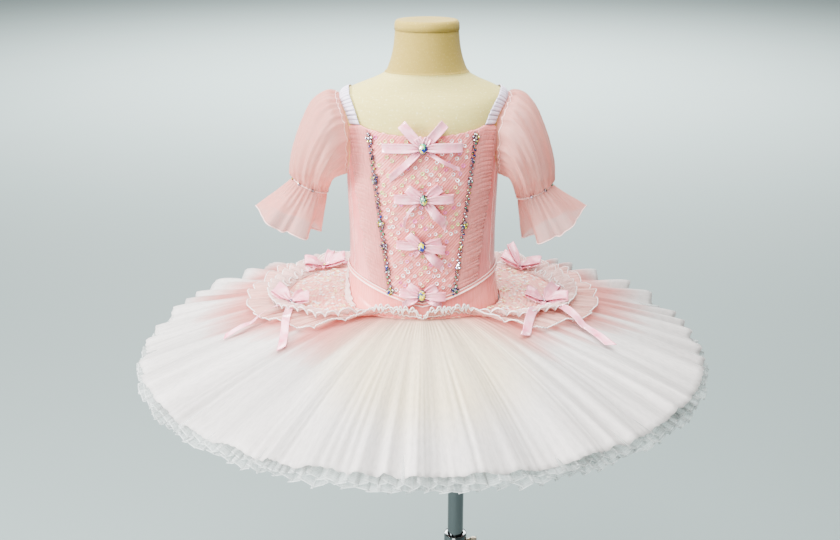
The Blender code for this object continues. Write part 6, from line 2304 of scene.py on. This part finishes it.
@dataclass
class Sequins:
    """Cupped ring sequins sewn on the laces."""

    radius: float = 0.0027
    spacing: float = 0.0104

    def plastron(self) -> None:
        """Sequins in loose slanting rows over the plastron."""
        draw, gap, heap, shape = random.Random(7), self.spacing, Heap(), cup()
        rows = int(0.24 / gap)
        for row in range(-rows, rows * 2):
            for place in range(-26, 26):
                x = place * gap * 0.92 + row * gap * 0.34 + draw.uniform(-2.4, 2.4) * MM
                z = PLASTRON_WAIST_Z - 0.012 + row * gap * 0.98 + place * 0.0032 \
                    + draw.uniform(-2.4, 2.4) * MM
                tilt, spin = draw.uniform(-0.22, 0.22), draw.uniform(-0.22, 0.22)
                chance, hue = draw.random(), draw.random()
                turn = angle_at(x, z)
                inside = abs(x) < plastron_half(z) - 0.006 \
                    and waist_z(turn) + 0.004 < z < front_top_z(turn) - 0.001
                if not inside or chance > 0.82:
                    continue
                if x < -0.012 and z > 1.075 and hue < 0.75:
                    hue = 0.34 + hue * 0.3
                at = worn_point(turn, z, WORN + 0.0009)
                out = unit(worn_point(turn, z, WORN + 0.0109) - at)
                heap.place(shape, at, axes(out + [tilt, 0, spin]), self.radius * (0.82 + 0.3 * chance), hue)
        heap.build("plastron_sequins", SEQUIN_FILM)

    def hips(self) -> None:
        """Smaller sequins scattered over the hip lace."""
        draw, heap, shape = random.Random(17), Heap(), cup(8)
        for _ in range(450):
            side, turn = draw.choice((-1, 1)), draw.uniform(34, 160)
            share, hue = draw.uniform(0.04, 0.96), draw.random()
            tilt, spin = draw.uniform(-0.35, 0.35), draw.uniform(-0.35, 0.35)
            root, edge = overlay_root(turn), panel_edge(turn)
            if draw.random() > (edge - root) / 0.1:
                continue
            radius = between(root, edge, share)
            at = plan(side * turn, radius, overlay_base(radius) + SHEER + 0.0028)
            heap.place(shape, at, axes(np.array([tilt, spin, 1])), 0.002 + 0.0008 * hue, 0.42 * hue)
        heap.build("hip_sequins", SEQUIN_FILM)

    def build(self) -> None:
        """Sew both lots on."""
        self.plastron()
        self.hips()


# ---------------- studio


@dataclass
class Studio:
    """Plain pale floor, soft lights and the camera."""

    lens: float = 47.14
    place: tuple[float, float, float] = (-0.0034, -1.5, 1.464)
    pitch: float = 71.0
    aim_z: float = 0.95  # the middle of the bodice
    # name, place, size, watts, and tilt in degrees for the one over the far floor
    lights: tuple[tuple, ...] = (
        ("key", (-3, -1.2, 1.8), 1.2, 215), ("front", (-0.6, -2.8, 2.2), 1.6, 16),
        ("top", (-0.3, -0.5, 3.2), 2.4, 170), ("low", (-0.5, -1.8, 0.55), 0.9, 12),
        ("wash", (0, 8, 5), 6, 1900, 15))
    world: str = "#D5DAD9"
    world_strength: float = 0.53

    def floor(self) -> None:
        """A floor wide enough to fill the view."""
        mesh = bpy.data.meshes.new("floor")
        mesh.from_pydata([(-30, -30, 0), (30, -30, 0), (30, 30, 0), (-30, 30, 0)], [], [(0, 1, 2, 3)])
        mesh.materials.append(FLOOR.material())
        linked("floor", mesh)

    def light(self, name: str, place: Sequence[float], size: float, watts: float,
              tilt: float | None = None) -> None:
        """A soft square light.

        Args:
            name: Its name.
            place: Where it stands.
            size: Its width.
            watts: Its power.
            tilt: Degrees that it turns from straight down; without it, it is aimed at the bodice.
        """
        data = bpy.data.lights.new(name, "AREA")
        data.size, data.energy = size, watts
        lamp = linked(name, data)
        lamp.location = place
        aim = (Vector((0, 0, self.aim_z)) - Vector(place)).to_track_quat("-Z", "Y").to_euler()
        lamp.rotation_euler = aim if tilt is None else (math.radians(tilt), 0, 0)

    def build(self) -> None:
        """Set the stage."""
        self.floor()
        for light in self.lights:
            self.light(*light)
        scene = bpy.context.scene
        scene.view_settings.look = "AgX - Medium High Contrast"
        scene.world = bpy.data.worlds.new("studio")
        scene.world.use_nodes = True
        background = scene.world.node_tree.nodes["Background"]
        background.inputs["Color"].default_value = linear(self.world)
        background.inputs["Strength"].default_value = self.world_strength
        data = bpy.data.cameras.new("camera")
        data.lens, data.clip_end = self.lens, 100
        scene.camera = linked("camera", data)
        scene.camera.location = self.place
        scene.camera.rotation_euler = (math.radians(self.pitch), 0, 0)


def main() -> None:
    """Load the frame, build every sub-assembly and note the sizes."""
    logging.basicConfig(level=logging.INFO, format="%(name)s: %(message)s")
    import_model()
    assemblies = (Studio(), Stand(), DressForm(), Bodice(), Waist(), Straps(), Sleeves(), Knickers(), Skirt(),
                  Overlay(), Bows(), CrystalChains(), Sequins())
    for assembly in assemblies:
        LOG.info("building %s", type(assembly).__name__)
        assembly.build()


if __name__ == "__main__":
    main()
